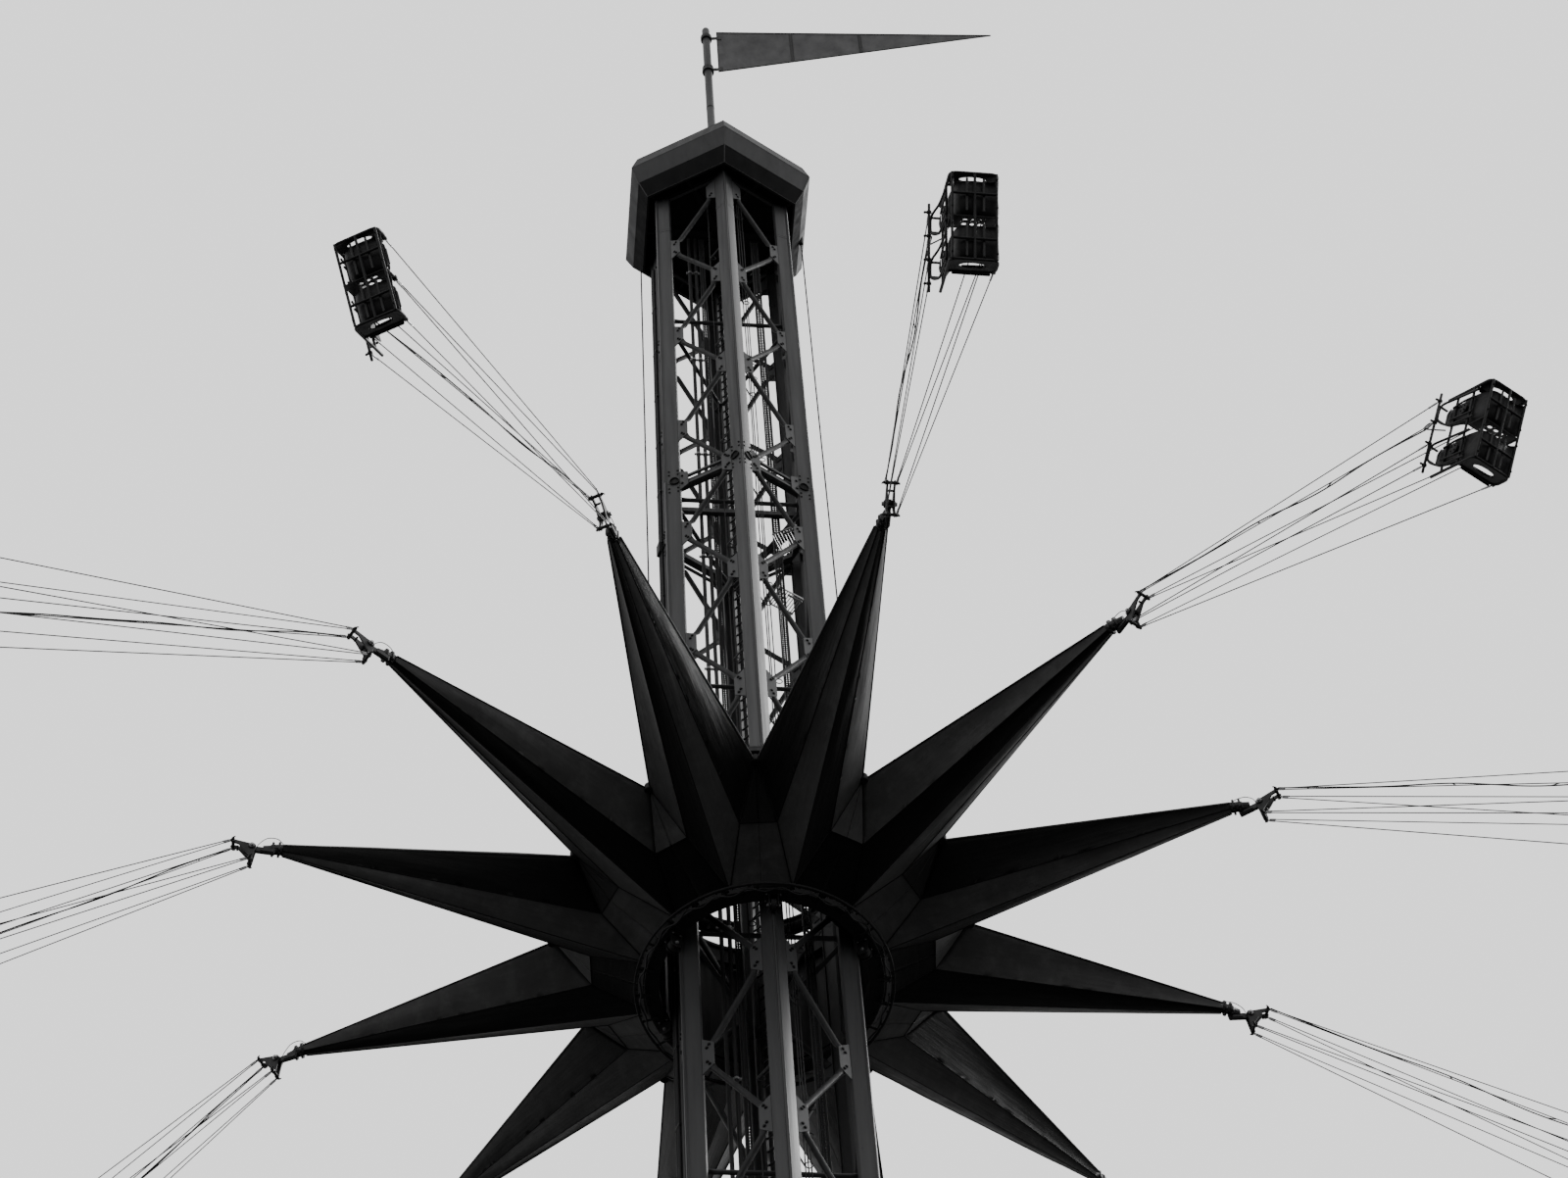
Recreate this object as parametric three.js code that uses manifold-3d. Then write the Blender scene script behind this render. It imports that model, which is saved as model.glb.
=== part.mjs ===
// Chair swing ride as a scale model at 1:2: a hexagonal lattice tower with a cap and a vane,
// a lifting carriage, a twelve-armed star that turns on it, and twelve double chairs on cables.
// Millimetres, +Z up. The origin is at the centre of the base's underside, on the tower's axis.
// Headings are measured from -Y towards +X, seen from above, so that corner 0 of the tower faces -Y.

import * as THREE from 'three';
import { mergeVertices } from 'three/addons/utils/BufferGeometryUtils.js';
import Module from 'manifold-3d';

const wasm = await Module();
wasm.setup();

// Fit between pieces that touch, and between pieces that turn or slide on each other
const TOUCH = 0.3;
const RUNNING = 0.5;

// Tower
const CORNERS = 6;
const CORNER_RADIUS = 720;
const FLANK_WIDTH = 121;
const FLANK_TURN = Math.PI / 4;
const LIP_DEPTH = 35;
const RIDGE_WIDTH = 24;
const RIDGE_PROUD = 10;
const BASE_HEIGHT = 150;
const BASE_RADIUS = 850;
const BASE_RIM = 80;
const BASE_HUB = 240;
const BASE_SPOKE = 20;
const BASE_BAY = 190;
const COLUMN_TOP = 34200;
const HALF_PITCH = 850;
const SPLICE_LEVEL = 28770;
const LOWEST_STEP = -33;
const HIGHEST_STEP = 6;
const SPLICE_STEPS = [0, -12, -24];
const BRACE_THICKNESS = 30;
const BRACE_INSET = 33;
const GUSSET_WIDTH = 60;
const GUSSET_HEIGHT = 260;
const GUSSET_INNER = 322;
const SPLICE_BAR_HEIGHT = 30;
const SPLICE_BAR_OFFSET = 60;
const SPLICE_PLATE = 70;
const INNER_RING_WIDTH = 60;
const INNER_RING_HEIGHT = 60;
const CROSS_BAR_DEPTH = 40;

// Ladder and service pipes inside the tower
const LADDER_X = 85;
const LADDER_Y = 440;
const LADDER_TURN = -47;
const LADDER_WIDTH = 240;
const LADDER_RAIL = 30;
const LADDER_DEPTH = 34;
const LADDER_RUNG = 14;
const LADDER_BAYS = 12;
const LADDER_BOTTOM = 400;
const LADDER_TOP = 33900;
const PIPE_RADIUS = 16;
const PIPE_X = [-300, -240];
const PIPE_Y = -60;
const TRAYS = [{ x: 330, width: 70 }, { x: -180, width: 50 }];
const TRAY_DEPTH = 20;

// Cap, mast and vane
const CAP_SOFFIT = [823, 34070];
const CAP_LOWER_EDGE = [919, 34260];
const CAP_WIDEST_EDGE = [997, 34498];
const CAP_UPPER_EDGE = [931, 34751];
const CAP_WALL = 14;
const ROOF_THICKNESS = 20;
const ROOF_TOP = CAP_UPPER_EDGE[1] + ROOF_THICKNESS;
const ROOF_UNDERSIDE = CAP_UPPER_EDGE[1];
const HEAD_PLATE = 40;
const HEAD_PLATE_RADIUS = 740;
const SOCKET_RADIUS = 110;
const SHEAVE_RADIUS = 110;
const SHEAVE_SIDES = 10;
const SHEAVE_WIDTH = 40;
const SHEAVE_BRACKET = [90, 160, 120];
const SHEAVE_LEVEL = 34360;
const ROPE_SLOT = 60;
const ROPE_SLOT_HEIGHT = 560;
const MAST_RADIUS = 41;
const MAST_TOP = 39000;
const MAST_FOOT = [90, 20];
const THRUST_COLLAR = [62, 24];
const VANE_TOP = 38900;
const VANE_HOIST = 1000;
const VANE_LENGTH = 2920;
const VANE_THICKNESS = 14;
const VANE_HEADING = 82.9;
const VANE_OFFSET = 70;
const SLEEVE_HEIGHT = 80;
const SLEEVE_WALL = 16;
const LOWER_SLEEVE = VANE_TOP - VANE_HOIST + 60;
const UPPER_SLEEVE = VANE_TOP - 150;

// Hoist ropes
const ROPE_RADIUS = 7;
const ROPE_CIRCLE = 830;
const ROPE_HEADINGS = [98, -119];

// Carriage and star
const CARRIAGE_INNER = 750;
const CARRIAGE_OUTER = 790;
const FLANGE_OUTER = 856;
const TOP_FLANGE_OUTER = 880;
const CARRIAGE_TOP = 24150;
const ROLLER_RADIUS = 45;
const ROLLER_WIDTH = 40;
const ROLLER_BRACKET = [90, 44, 180];
const CARRIAGE_POST = [120, 26];
const HUB_INNER = 825;
const HUB_OUTER = 850;
const HUB_BOTTOM = 22460;
const HUB_TOP = 23700;
const ARMS = 12;
const FIRST_ARM_HEADING = 9.15;
const EDGE_POINT = [1228, 193, 22690];
const VALLEY_RADIUS = 1504;
const STAR_LEVEL = 23050;
const ARM_END = 3500;
const TIP_LEVEL = 23070;

// Chairs
const PIN_CIRCLE = 3716;
const PIN_LEVEL = 23020;
const PIN_RADIUS = 14;
const LUG_LENGTH = 200;
const LUG_HEAD = 34;
const LUG_THICKNESS = 24;
const SWING = 57;
const LAG = 8;
const YOKE_DROP = 75;
const YOKE_HALF = 120;
const YOKE_CHEEK = 20;
const CROSSBAR_HALF = 38;
const CABLE_RADIUS = 4;
const SEAT_DISTANCE = 3740;
const SEAT_WIDTH = 250;
const SEAT_CENTRE = 152;
const FRAME_HALF = 300;
const BACK_FACE = -150;
const SEAT_DROP = 110;
const SEAT_BASE = 24;
const BACK_HEIGHT = 300;
const HOOK_REACH = -215;
const HOOK_SPACING = 162;
const FRONT_REACH = 150;
const ARMREST_HEIGHT = 40;
const SIDE_PLATE = 20;
const BACK_THICKNESS = 26;
const BACK_RAIL = 18;
const RAIL_STUB = 20;

const FINISHES = {
  steel: { color: 0x55575a, roughness: 0.55, metalness: 0.4 },
  cap: { color: 0x6a6c6f, roughness: 0.5, metalness: 0.3 },
  cloth: { color: 0x3a3b3d, roughness: 0.9, metalness: 0 },
  black: { color: 0x1d1e20, roughness: 0.6, metalness: 0.2 },
  rope: { color: 0x3c3c3c, roughness: 0.7, metalness: 0.3 },
};

const ride = new THREE.Group();

const radians = (degrees) => THREE.MathUtils.degToRad(degrees);

// A point at a heading and radius, moved sideways along the circle's tangent
function place(heading, radius, side = 0) {
  const a = radians(heading);
  const x = radius * Math.sin(a) + side * Math.cos(a);
  const y = -radius * Math.cos(a) + side * Math.sin(a);
  return [x, y];
}

function bare(geometry) {
  const copy = geometry.clone();
  copy.deleteAttribute('normal');
  copy.deleteAttribute('uv');
  return mergeVertices(copy, 1e-3);
}

function solid(geometry) {
  const shape = bare(geometry);
  return new wasm.Manifold(new wasm.Mesh({
    numProp: 3,
    vertProperties: new Float32Array(shape.attributes.position.array),
    triVerts: new Uint32Array(shape.index.array),
  }));
}

function geometryOf(manifold) {
  const mesh = manifold.getMesh();
  const geometry = new THREE.BufferGeometry();
  geometry.setAttribute('position', new THREE.BufferAttribute(new Float32Array(mesh.vertProperties), 3));
  geometry.setIndex(new THREE.BufferAttribute(new Uint32Array(mesh.triVerts), 1));
  return geometry;
}

function trim(geometry, bounds) {
  return geometryOf(solid(geometry).intersect(solid(bounds)));
}

function fuse(geometries, cuts = []) {
  let body = solid(geometries[0]);
  for (const geometry of geometries.slice(1)) {
    body = body.add(solid(geometry));
  }
  for (const cut of cuts) {
    body = body.subtract(solid(cut));
  }
  return geometryOf(body);
}

// An outline of [x, y] points raised from one level to another
function raise(points, bottom, top) {
  const shape = new THREE.Shape(points.map(([x, y]) => new THREE.Vector2(x, y)));
  const geometry = new THREE.ExtrudeGeometry(shape, { depth: top - bottom, bevelEnabled: false });
  return geometry.translate(0, 0, bottom);
}

function block(sizeX, sizeY, sizeZ, x, y, z) {
  return new THREE.BoxGeometry(sizeX, sizeY, sizeZ).translate(x, y, z);
}

// A bar of a few sides from one point to another
function bar(from, to, radius, sides = 4) {
  const start = new THREE.Vector3(...from);
  const end = new THREE.Vector3(...to);
  const geometry = new THREE.CylinderGeometry(radius, radius, start.distanceTo(end), sides);
  const along = end.clone().sub(start).normalize();
  geometry.applyQuaternion(new THREE.Quaternion().setFromUnitVectors(new THREE.Vector3(0, 1, 0), along));
  return geometry.translate(...start.add(end).multiplyScalar(0.5).toArray());
}

// A closed ring whose section, a loop of [radius, level] points, is carried round the axis
function ring(section, sides, heading) {
  const positions = [];
  const index = [];
  const count = section.length;
  for (let i = 0; i < sides; i += 1) {
    for (const [radius, level] of section) {
      positions.push(...place(heading + (360 * i) / sides, radius), level);
    }
  }
  for (let i = 0; i < sides; i += 1) {
    const next = (i + 1) % sides;
    for (let j = 0; j < count; j += 1) {
      const up = (j + 1) % count;
      index.push(i * count + j, next * count + j, next * count + up);
      index.push(i * count + j, next * count + up, i * count + up);
    }
  }
  const geometry = new THREE.BufferGeometry();
  geometry.setAttribute('position', new THREE.Float32BufferAttribute(positions, 3));
  geometry.setIndex(index);
  return geometry;
}

function collar(inner, outer, bottom, top, sides, heading = 0) {
  return ring([[inner, bottom], [outer, bottom], [outer, top], [inner, top]], sides, heading);
}

// A closed shell from corner points and faces that all look away from an inner point
function shell(points, faces, inner) {
  const centre = new THREE.Vector3(...inner);
  const corners = points.map((p) => new THREE.Vector3(...p));
  const index = [];
  for (const face of faces) {
    for (let i = 1; i + 1 < face.length; i += 1) {
      const [a, b, c] = [face[0], face[i], face[i + 1]];
      const normal = corners[b].clone().sub(corners[a]).cross(corners[c].clone().sub(corners[a]));
      const outward = corners[a].clone().sub(centre).dot(normal) > 0;
      index.push(a, outward ? b : c, outward ? c : b);
    }
  }
  const geometry = new THREE.BufferGeometry();
  geometry.setAttribute('position', new THREE.Float32BufferAttribute(points.flat(), 3));
  geometry.setIndex(index);
  return geometry;
}

function add(name, geometry, finish, parent = ride) {
  const mesh = new THREE.Mesh(bare(geometry), new THREE.MeshStandardMaterial(FINISHES[finish]));
  mesh.name = name;
  parent.add(mesh);
  return mesh;
}

// Base: a thick hexagonal plate with six openings, which leave a rim, six spokes and a solid hub
function baseFrame() {
  const outline = Array.from({ length: CORNERS }, (_, i) => place(60 * i, BASE_RADIUS));
  const shape = new THREE.Shape(outline.map(([x, y]) => new THREE.Vector2(x, y)));
  const rim = (CORNER_RADIUS - 2 * BASE_RIM) * Math.cos(Math.PI / 6);
  for (let i = 0; i < CORNERS; i += 1) {
    const heading = 60 * i + 30;
    const inner = [place(heading, BASE_HUB, -BASE_SPOKE), place(heading, BASE_HUB, BASE_SPOKE)];
    const outer = [place(heading, rim, BASE_BAY), place(heading, rim, -BASE_BAY)];
    shape.holes.push(new THREE.Path([...inner, ...outer].map(([x, y]) => new THREE.Vector2(x, y))));
  }
  return new THREE.ExtrudeGeometry(shape, { depth: BASE_HEIGHT, bevelEnabled: false });
}

// Where a column's flank ends, as distances inwards and sideways from the corner, and how far along the
// tower's face that is. A lip runs inwards from there, square to the face.
const FLANK_END = [FLANK_WIDTH * Math.sin(FLANK_TURN), FLANK_WIDTH * Math.cos(FLANK_TURN)];
const LIP_END = [FLANK_END[0] + LIP_DEPTH * Math.cos(Math.PI / 6), FLANK_END[1] - LIP_DEPTH * Math.sin(Math.PI / 6)];
const FACE_START = FLANK_WIDTH * Math.cos(FLANK_TURN - Math.PI / 6);

// Column section: two flanks at right angles, meeting in a ridge that carries the guide bar, with a lip on each
function columnOutline(heading) {
  const half = RIDGE_WIDTH / 2;
  const ridge = [-half * Math.tan(FLANK_TURN), half];
  const profile = [[RIDGE_PROUD, half], ridge, [-FLANK_END[0], FLANK_END[1]], [-LIP_END[0], LIP_END[1]]];
  const mirrored = profile.map(([u, v]) => [u, -v]).reverse();
  return [...profile, ...mirrored].map(([u, v]) => place(heading, CORNER_RADIUS + u, v));
}

function towerColumn(heading) {
  return raise(columnOutline(heading), BASE_HEIGHT + TOUCH, COLUMN_TOP);
}

// Bracing of one face: a zigzag of bars with a gusset at each step, drawn as one outline in the face's
// plane, with a pair of level bars at each splice of the tower's sections
function bracingPanel(face) {
  const span = CORNER_RADIUS - 2 * FACE_START - 2 * TOUCH;
  const left = [];
  const right = [];
  for (let step = LOWEST_STEP; step <= HIGHEST_STEP; step += 1) {
    const level = SPLICE_LEVEL + step * HALF_PITCH;
    const onLeft = Math.abs(step + face) % 2 === 0;
    const [outer, inner] = onLeft ? [left, right] : [right, left];
    const x = (s) => (onLeft ? s : span - s);
    outer.push([x(0), level - GUSSET_HEIGHT / 2], [x(0), level + GUSSET_HEIGHT / 2]);
    inner.push([x(GUSSET_WIDTH), level - GUSSET_INNER / 2], [x(GUSSET_WIDTH), level + GUSSET_INNER / 2]);
  }
  const parts = [raise([...left, ...right.reverse()], 0, BRACE_THICKNESS)];
  for (const step of SPLICE_STEPS) {
    const level = SPLICE_LEVEL + step * HALF_PITCH;
    const onLeft = Math.abs(step + face) % 2 === 0;
    const plateX = onLeft ? span - SPLICE_PLATE / 2 : SPLICE_PLATE / 2;
    parts.push(block(SPLICE_PLATE, GUSSET_HEIGHT * 0.7, BRACE_THICKNESS, plateX, level, BRACE_THICKNESS / 2));
    for (const offset of [-SPLICE_BAR_OFFSET, SPLICE_BAR_OFFSET]) {
      const y = level + offset;
      parts.push(block(span, SPLICE_BAR_HEIGHT, BRACE_THICKNESS, span / 2, y, BRACE_THICKNESS / 2));
    }
  }
  const apothem = CORNER_RADIUS * Math.cos(Math.PI / 6) - BRACE_INSET;
  const geometry = fuse(parts).translate(-span / 2, 0, -BRACE_THICKNESS);
  geometry.rotateX(Math.PI / 2).translate(0, -apothem, 0);
  return geometry.rotateZ(radians(60 * face + 30));
}

// Frame inside the tower at a splice: a hexagonal ring between the columns, with a bar behind the
// ladder and a bar behind the service pipes and the cable trays
function innerRing(level) {
  const apothem = CORNER_RADIUS * Math.cos(Math.PI / 6) - BRACE_INSET - BRACE_THICKNESS - TOUCH;
  const chord = CORNER_RADIUS - LIP_END[0] - TOUCH;
  const half = (apothem - chord * Math.cos(Math.PI / 6)) / Math.sin(Math.PI / 6);
  const outline = [];
  for (let i = 0; i < CORNERS; i += 1) {
    outline.push(place(60 * i, chord, -half), place(60 * i, chord, half));
  }
  const openingRadius = (apothem - INNER_RING_WIDTH) / Math.cos(Math.PI / 6);
  const openingOutline = Array.from({ length: CORNERS }, (_, i) => place(60 * i, openingRadius));
  const opening = raise(openingOutline, level - INNER_RING_HEIGHT, level + INNER_RING_HEIGHT);
  const plate = raise(outline, level - INNER_RING_HEIGHT / 2, level + INNER_RING_HEIGHT / 2);
  const ladderBar = block(4 * apothem, CROSS_BAR_DEPTH, INNER_RING_HEIGHT, 0, 0, level);
  ladderBar.translate(0, (LADDER_DEPTH + CROSS_BAR_DEPTH) / 2 + TOUCH, 0);
  ladderBar.rotateZ(radians(LADDER_TURN)).translate(LADDER_X, LADDER_Y, 0);
  const pipeBarY = PIPE_Y - PIPE_RADIUS - CROSS_BAR_DEPTH / 2 - TOUCH;
  const pipeBar = block(4 * apothem, CROSS_BAR_DEPTH, INNER_RING_HEIGHT, 0, pipeBarY, level);
  return fuse([fuse([plate], [opening]), trim(ladderBar, plate), trim(pipeBar, plate)]);
}

// Ladder: two stringers with rungs, cut from one long outline
function ladder() {
  const half = LADDER_WIDTH / 2;
  const corners = (x, low, high) => [[-x, low], [x, low], [x, high], [-x, high]];
  const loop = (x, low, high) => corners(x, low, high).map(([u, v]) => new THREE.Vector2(u, v));
  const shape = new THREE.Shape(loop(half, LADDER_BOTTOM, LADDER_TOP));
  const bay = (LADDER_TOP - LADDER_BOTTOM) / LADDER_BAYS;
  for (let i = 0; i < LADDER_BAYS; i += 1) {
    const low = LADDER_BOTTOM + i * bay + LADDER_RUNG / 2;
    shape.holes.push(new THREE.Path(loop(half - LADDER_RAIL, low, low + bay - LADDER_RUNG).reverse()));
  }
  const geometry = new THREE.ExtrudeGeometry(shape, { depth: LADDER_DEPTH, bevelEnabled: false });
  geometry.rotateX(Math.PI / 2).translate(0, LADDER_DEPTH / 2, 0);
  return geometry.rotateZ(radians(LADDER_TURN)).translate(LADDER_X, LADDER_Y, 0);
}

function cableTray({ x, width }) {
  const y = PIPE_Y - PIPE_RADIUS + TRAY_DEPTH / 2;
  return block(width, TRAY_DEPTH, LADDER_TOP - LADDER_BOTTOM, x, y, (LADDER_TOP + LADDER_BOTTOM) / 2);
}

// Cap: a hexagonal shell with a sloped soffit and fascia, slotted where the hoist ropes pass
function capShell() {
  const outer = [CAP_SOFFIT, CAP_LOWER_EDGE, CAP_WIDEST_EDGE, CAP_UPPER_EDGE];
  const wall = CAP_WALL / Math.cos(Math.PI / 6);
  const inner = [...outer].reverse().map(([radius, level]) => [radius - wall, level]);
  inner[0][1] -= ROOF_THICKNESS + TOUCH;
  const shellBody = ring([...outer, [CAP_UPPER_EDGE[0] - CAP_WALL, CAP_UPPER_EDGE[1]], ...inner], CORNERS, 0);
  const slots = ROPE_HEADINGS.map((heading) => {
    const middle = SHEAVE_LEVEL + 2 * ROPE_SLOT - ROPE_SLOT_HEIGHT / 2;
    const slot = block(ROPE_SLOT, 2 * ROPE_SLOT, ROPE_SLOT_HEIGHT, 0, ROPE_SLOT / 2 - ROPE_CIRCLE, middle);
    return slot.rotateZ(radians(heading));
  });
  return fuse([shellBody], slots);
}

function capRoof() {
  const corners = Array.from({ length: CORNERS }, (_, i) => place(60 * i, CAP_UPPER_EDGE[0]));
  return raise(corners, ROOF_UNDERSIDE + TOUCH, ROOF_TOP);
}

// Head frame: a hexagonal plate on the columns, a socket for the mast and two sheaves for the ropes
function headFrame() {
  const corners = Array.from({ length: CORNERS }, (_, i) => place(60 * i, HEAD_PLATE_RADIUS));
  const parts = [raise(corners, COLUMN_TOP + TOUCH, COLUMN_TOP + HEAD_PLATE)];
  const plateMiddle = COLUMN_TOP + HEAD_PLATE / 2;
  const socket = new THREE.CylinderGeometry(SOCKET_RADIUS, SOCKET_RADIUS, ROOF_UNDERSIDE - plateMiddle, 12);
  parts.push(socket.rotateX(Math.PI / 2).translate(0, 0, (ROOF_UNDERSIDE + plateMiddle) / 2));
  const axle = ROPE_CIRCLE - ROPE_RADIUS - TOUCH - SHEAVE_RADIUS * Math.cos(Math.PI / SHEAVE_SIDES);
  for (const heading of ROPE_HEADINGS) {
    const bracketLevel = COLUMN_TOP + HEAD_PLATE + SHEAVE_BRACKET[2] / 2 - 10;
    const bracket = block(...SHEAVE_BRACKET, 0, -axle + SHEAVE_BRACKET[1] / 3, bracketLevel);
    const sheave = new THREE.CylinderGeometry(SHEAVE_RADIUS, SHEAVE_RADIUS, SHEAVE_WIDTH, SHEAVE_SIDES);
    sheave.rotateZ(Math.PI / 2).translate(0, -axle, SHEAVE_LEVEL);
    parts.push(bracket.rotateZ(radians(heading)), sheave.rotateZ(radians(heading)));
  }
  return fuse(parts);
}

// Mast: a tube with a flanged foot on the roof, a collar under the vane's lower sleeve and a rounded top
function mast() {
  const [footRadius, footHeight] = MAST_FOOT;
  const [collarRadius, collarHeight] = THRUST_COLLAR;
  const collarTop = LOWER_SLEEVE - SLEEVE_HEIGHT / 2 - RUNNING;
  const points = [[0, ROOF_TOP + TOUCH], [footRadius, ROOF_TOP + TOUCH]];
  points.push([footRadius, ROOF_TOP + footHeight], [MAST_RADIUS, ROOF_TOP + footHeight]);
  points.push([MAST_RADIUS, collarTop - collarHeight], [collarRadius, collarTop - collarHeight]);
  points.push([collarRadius, collarTop], [MAST_RADIUS, collarTop]);
  points.push([MAST_RADIUS, MAST_TOP - MAST_RADIUS * 0.6], [MAST_RADIUS * 0.6, MAST_TOP - 6], [0, MAST_TOP]);
  const geometry = new THREE.LatheGeometry(points.map(([r, z]) => new THREE.Vector2(r, z)), 12);
  return geometry.rotateX(Math.PI / 2);
}

// Vane: a triangular plate on two sleeves that turn on the mast
function vane() {
  const low = VANE_TOP - VANE_HOIST;
  const start = MAST_RADIUS + VANE_OFFSET;
  const tip = [start + VANE_LENGTH, VANE_TOP - VANE_HOIST / 2];
  const blade = raise([[start, low], [start, VANE_TOP], tip], 0, VANE_THICKNESS);
  blade.rotateX(Math.PI / 2).translate(0, VANE_THICKNESS / 2, 0);
  const parts = [blade];
  const bore = (MAST_RADIUS + RUNNING) / Math.cos(Math.PI / 8);
  const half = SLEEVE_HEIGHT / 2;
  for (const level of [LOWER_SLEEVE, UPPER_SLEEVE]) {
    const bracketStart = MAST_RADIUS + SLEEVE_WALL / 2;
    const bracketLength = start + SLEEVE_WALL - bracketStart;
    const middle = bracketStart + bracketLength / 2;
    parts.push(block(bracketLength, VANE_THICKNESS, SLEEVE_HEIGHT / 2, middle, 0, level));
    parts.push(collar(bore, bore + SLEEVE_WALL, level - half, level + half, 8, 22.5));
  }
  return fuse(parts).rotateZ(radians(VANE_HEADING - 90));
}

function hoistRope(heading) {
  const [x, y] = place(heading, ROPE_CIRCLE);
  const bottom = CARRIAGE_TOP + TOUCH;
  const geometry = new THREE.CylinderGeometry(ROPE_RADIUS, ROPE_RADIUS, SHEAVE_LEVEL - bottom, 6);
  geometry.rotateX(Math.PI / 2).rotateZ(radians(heading));
  return geometry.translate(x, y, (SHEAVE_LEVEL + bottom) / 2);
}

// Carriage: a sleeve round the tower with flanges, posts and a guide roller on each ridge, top and bottom
function carriageFrame() {
  const flangeTop = HUB_BOTTOM - RUNNING;
  const parts = [
    collar(CARRIAGE_INNER, FLANGE_OUTER, flangeTop - 40, flangeTop, ARMS),
    collar(CARRIAGE_INNER, CARRIAGE_OUTER, flangeTop - 20, HUB_BOTTOM + 160, ARMS),
    collar(CARRIAGE_INNER, CARRIAGE_OUTER, HUB_TOP - 80, HUB_TOP + 120, ARMS),
    collar(CARRIAGE_INNER, TOP_FLANGE_OUTER, CARRIAGE_TOP - 60, CARRIAGE_TOP, ARMS),
  ];
  const rail = CORNER_RADIUS + RIDGE_PROUD + RUNNING;
  const middle = (CARRIAGE_TOP + HUB_BOTTOM) / 2;
  for (let i = 0; i < CORNERS; i += 1) {
    const heading = radians(60 * i);
    const post = block(...CARRIAGE_POST, CARRIAGE_TOP - HUB_BOTTOM, 0, 18 - CARRIAGE_OUTER, middle);
    parts.push(post.rotateZ(heading));
    for (const level of [HUB_BOTTOM - 120, CARRIAGE_TOP + 80]) {
      const bracket = block(...ROLLER_BRACKET, 0, -rail - ROLLER_RADIUS - 10, level);
      const roller = new THREE.CylinderGeometry(ROLLER_RADIUS, ROLLER_RADIUS, ROLLER_WIDTH, 8);
      roller.rotateY(Math.PI / 8).rotateZ(Math.PI / 2);
      roller.translate(0, -rail - ROLLER_RADIUS * Math.cos(Math.PI / 8), level);
      parts.push(bracket.rotateZ(heading), roller.rotateZ(heading));
    }
  }
  return fuse(parts);
}

// Star hub: a twelve-sided ring that turns on the carriage's lower flange and carries the arms
function starHub() {
  return collar(HUB_INNER, HUB_OUTER - TOUCH, HUB_BOTTOM, HUB_TOP, ARMS);
}

// Star arm, in its own frame: X outwards, Y along the circle. Two lower faces meet in a keel, and a side
// face on each side rises to the valley between two arms. All of them taper to a steel end with a bored lug.
function starArm() {
  const slope = radians(180 / ARMS);
  const seam = (radius, level) => [
    radius * Math.cos(slope) + TOUCH * Math.sin(slope),
    radius * Math.sin(slope) - TOUCH * Math.cos(slope),
    level,
  ];
  const ringMiddle = HUB_OUTER * Math.cos(slope);
  const [edgeX, edgeY, edgeZ] = EDGE_POINT;
  const panelMiddle = edgeX * Math.cos(slope) + edgeY * Math.sin(slope);
  const mirror = ([x, y, z]) => [x, -y, z];
  const side = [
    seam(ringMiddle, HUB_BOTTOM),
    seam(panelMiddle, edgeZ),
    [edgeX, edgeY, edgeZ],
    seam(VALLEY_RADIUS, STAR_LEVEL),
    seam(ringMiddle, HUB_TOP - 100),
    [ARM_END, 26, TIP_LEVEL - 42],
    [ARM_END, 46, TIP_LEVEL],
  ];
  const root = [[HUB_OUTER, 0, HUB_BOTTOM], [HUB_OUTER, 0, HUB_TOP]];
  const outerEnd = [[ARM_END, 0, TIP_LEVEL - 58], [ARM_END, 0, TIP_LEVEL + 60]];
  const points = [...root, ...outerEnd, ...side, ...side.map(mirror)];
  const [keel, top, keelEnd, topEnd] = [0, 1, 2, 3];
  const faces = [];
  for (const first of [4, 4 + side.length]) {
    const [ringMid, panelMid, edge, valley, crown, edgeEnd, chineEnd] = side.map((_, i) => first + i);
    faces.push([keel, keelEnd, edgeEnd, edge], [keel, edge, panelMid, ringMid], [edge, valley, panelMid]);
    faces.push([edge, edgeEnd, chineEnd, valley], [valley, chineEnd, topEnd]);
    faces.push([valley, topEnd, top], [valley, top, crown]);
    faces.push([ringMid, panelMid, valley, crown], [keel, ringMid, crown, top]);
    faces.push([keelEnd, edgeEnd, chineEnd, topEnd]);
  }
  const body = shell(points, faces, [1300, 0, TIP_LEVEL]);
  const end = block(100, 84, 96, ARM_END + 40, 0, TIP_LEVEL);
  const lug = block(LUG_LENGTH, LUG_THICKNESS, 64, LUG_HEAD - LUG_LENGTH / 2, 0, 0).rotateY(radians(-8));
  const bore = new THREE.CylinderGeometry(PIN_RADIUS + 2, PIN_RADIUS + 2, 60, 8);
  for (const piece of [lug, bore]) {
    piece.rotateZ(radians(-LAG)).translate(PIN_CIRCLE, 0, PIN_LEVEL);
  }
  return fuse([body, end, lug], [bore]);
}

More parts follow.
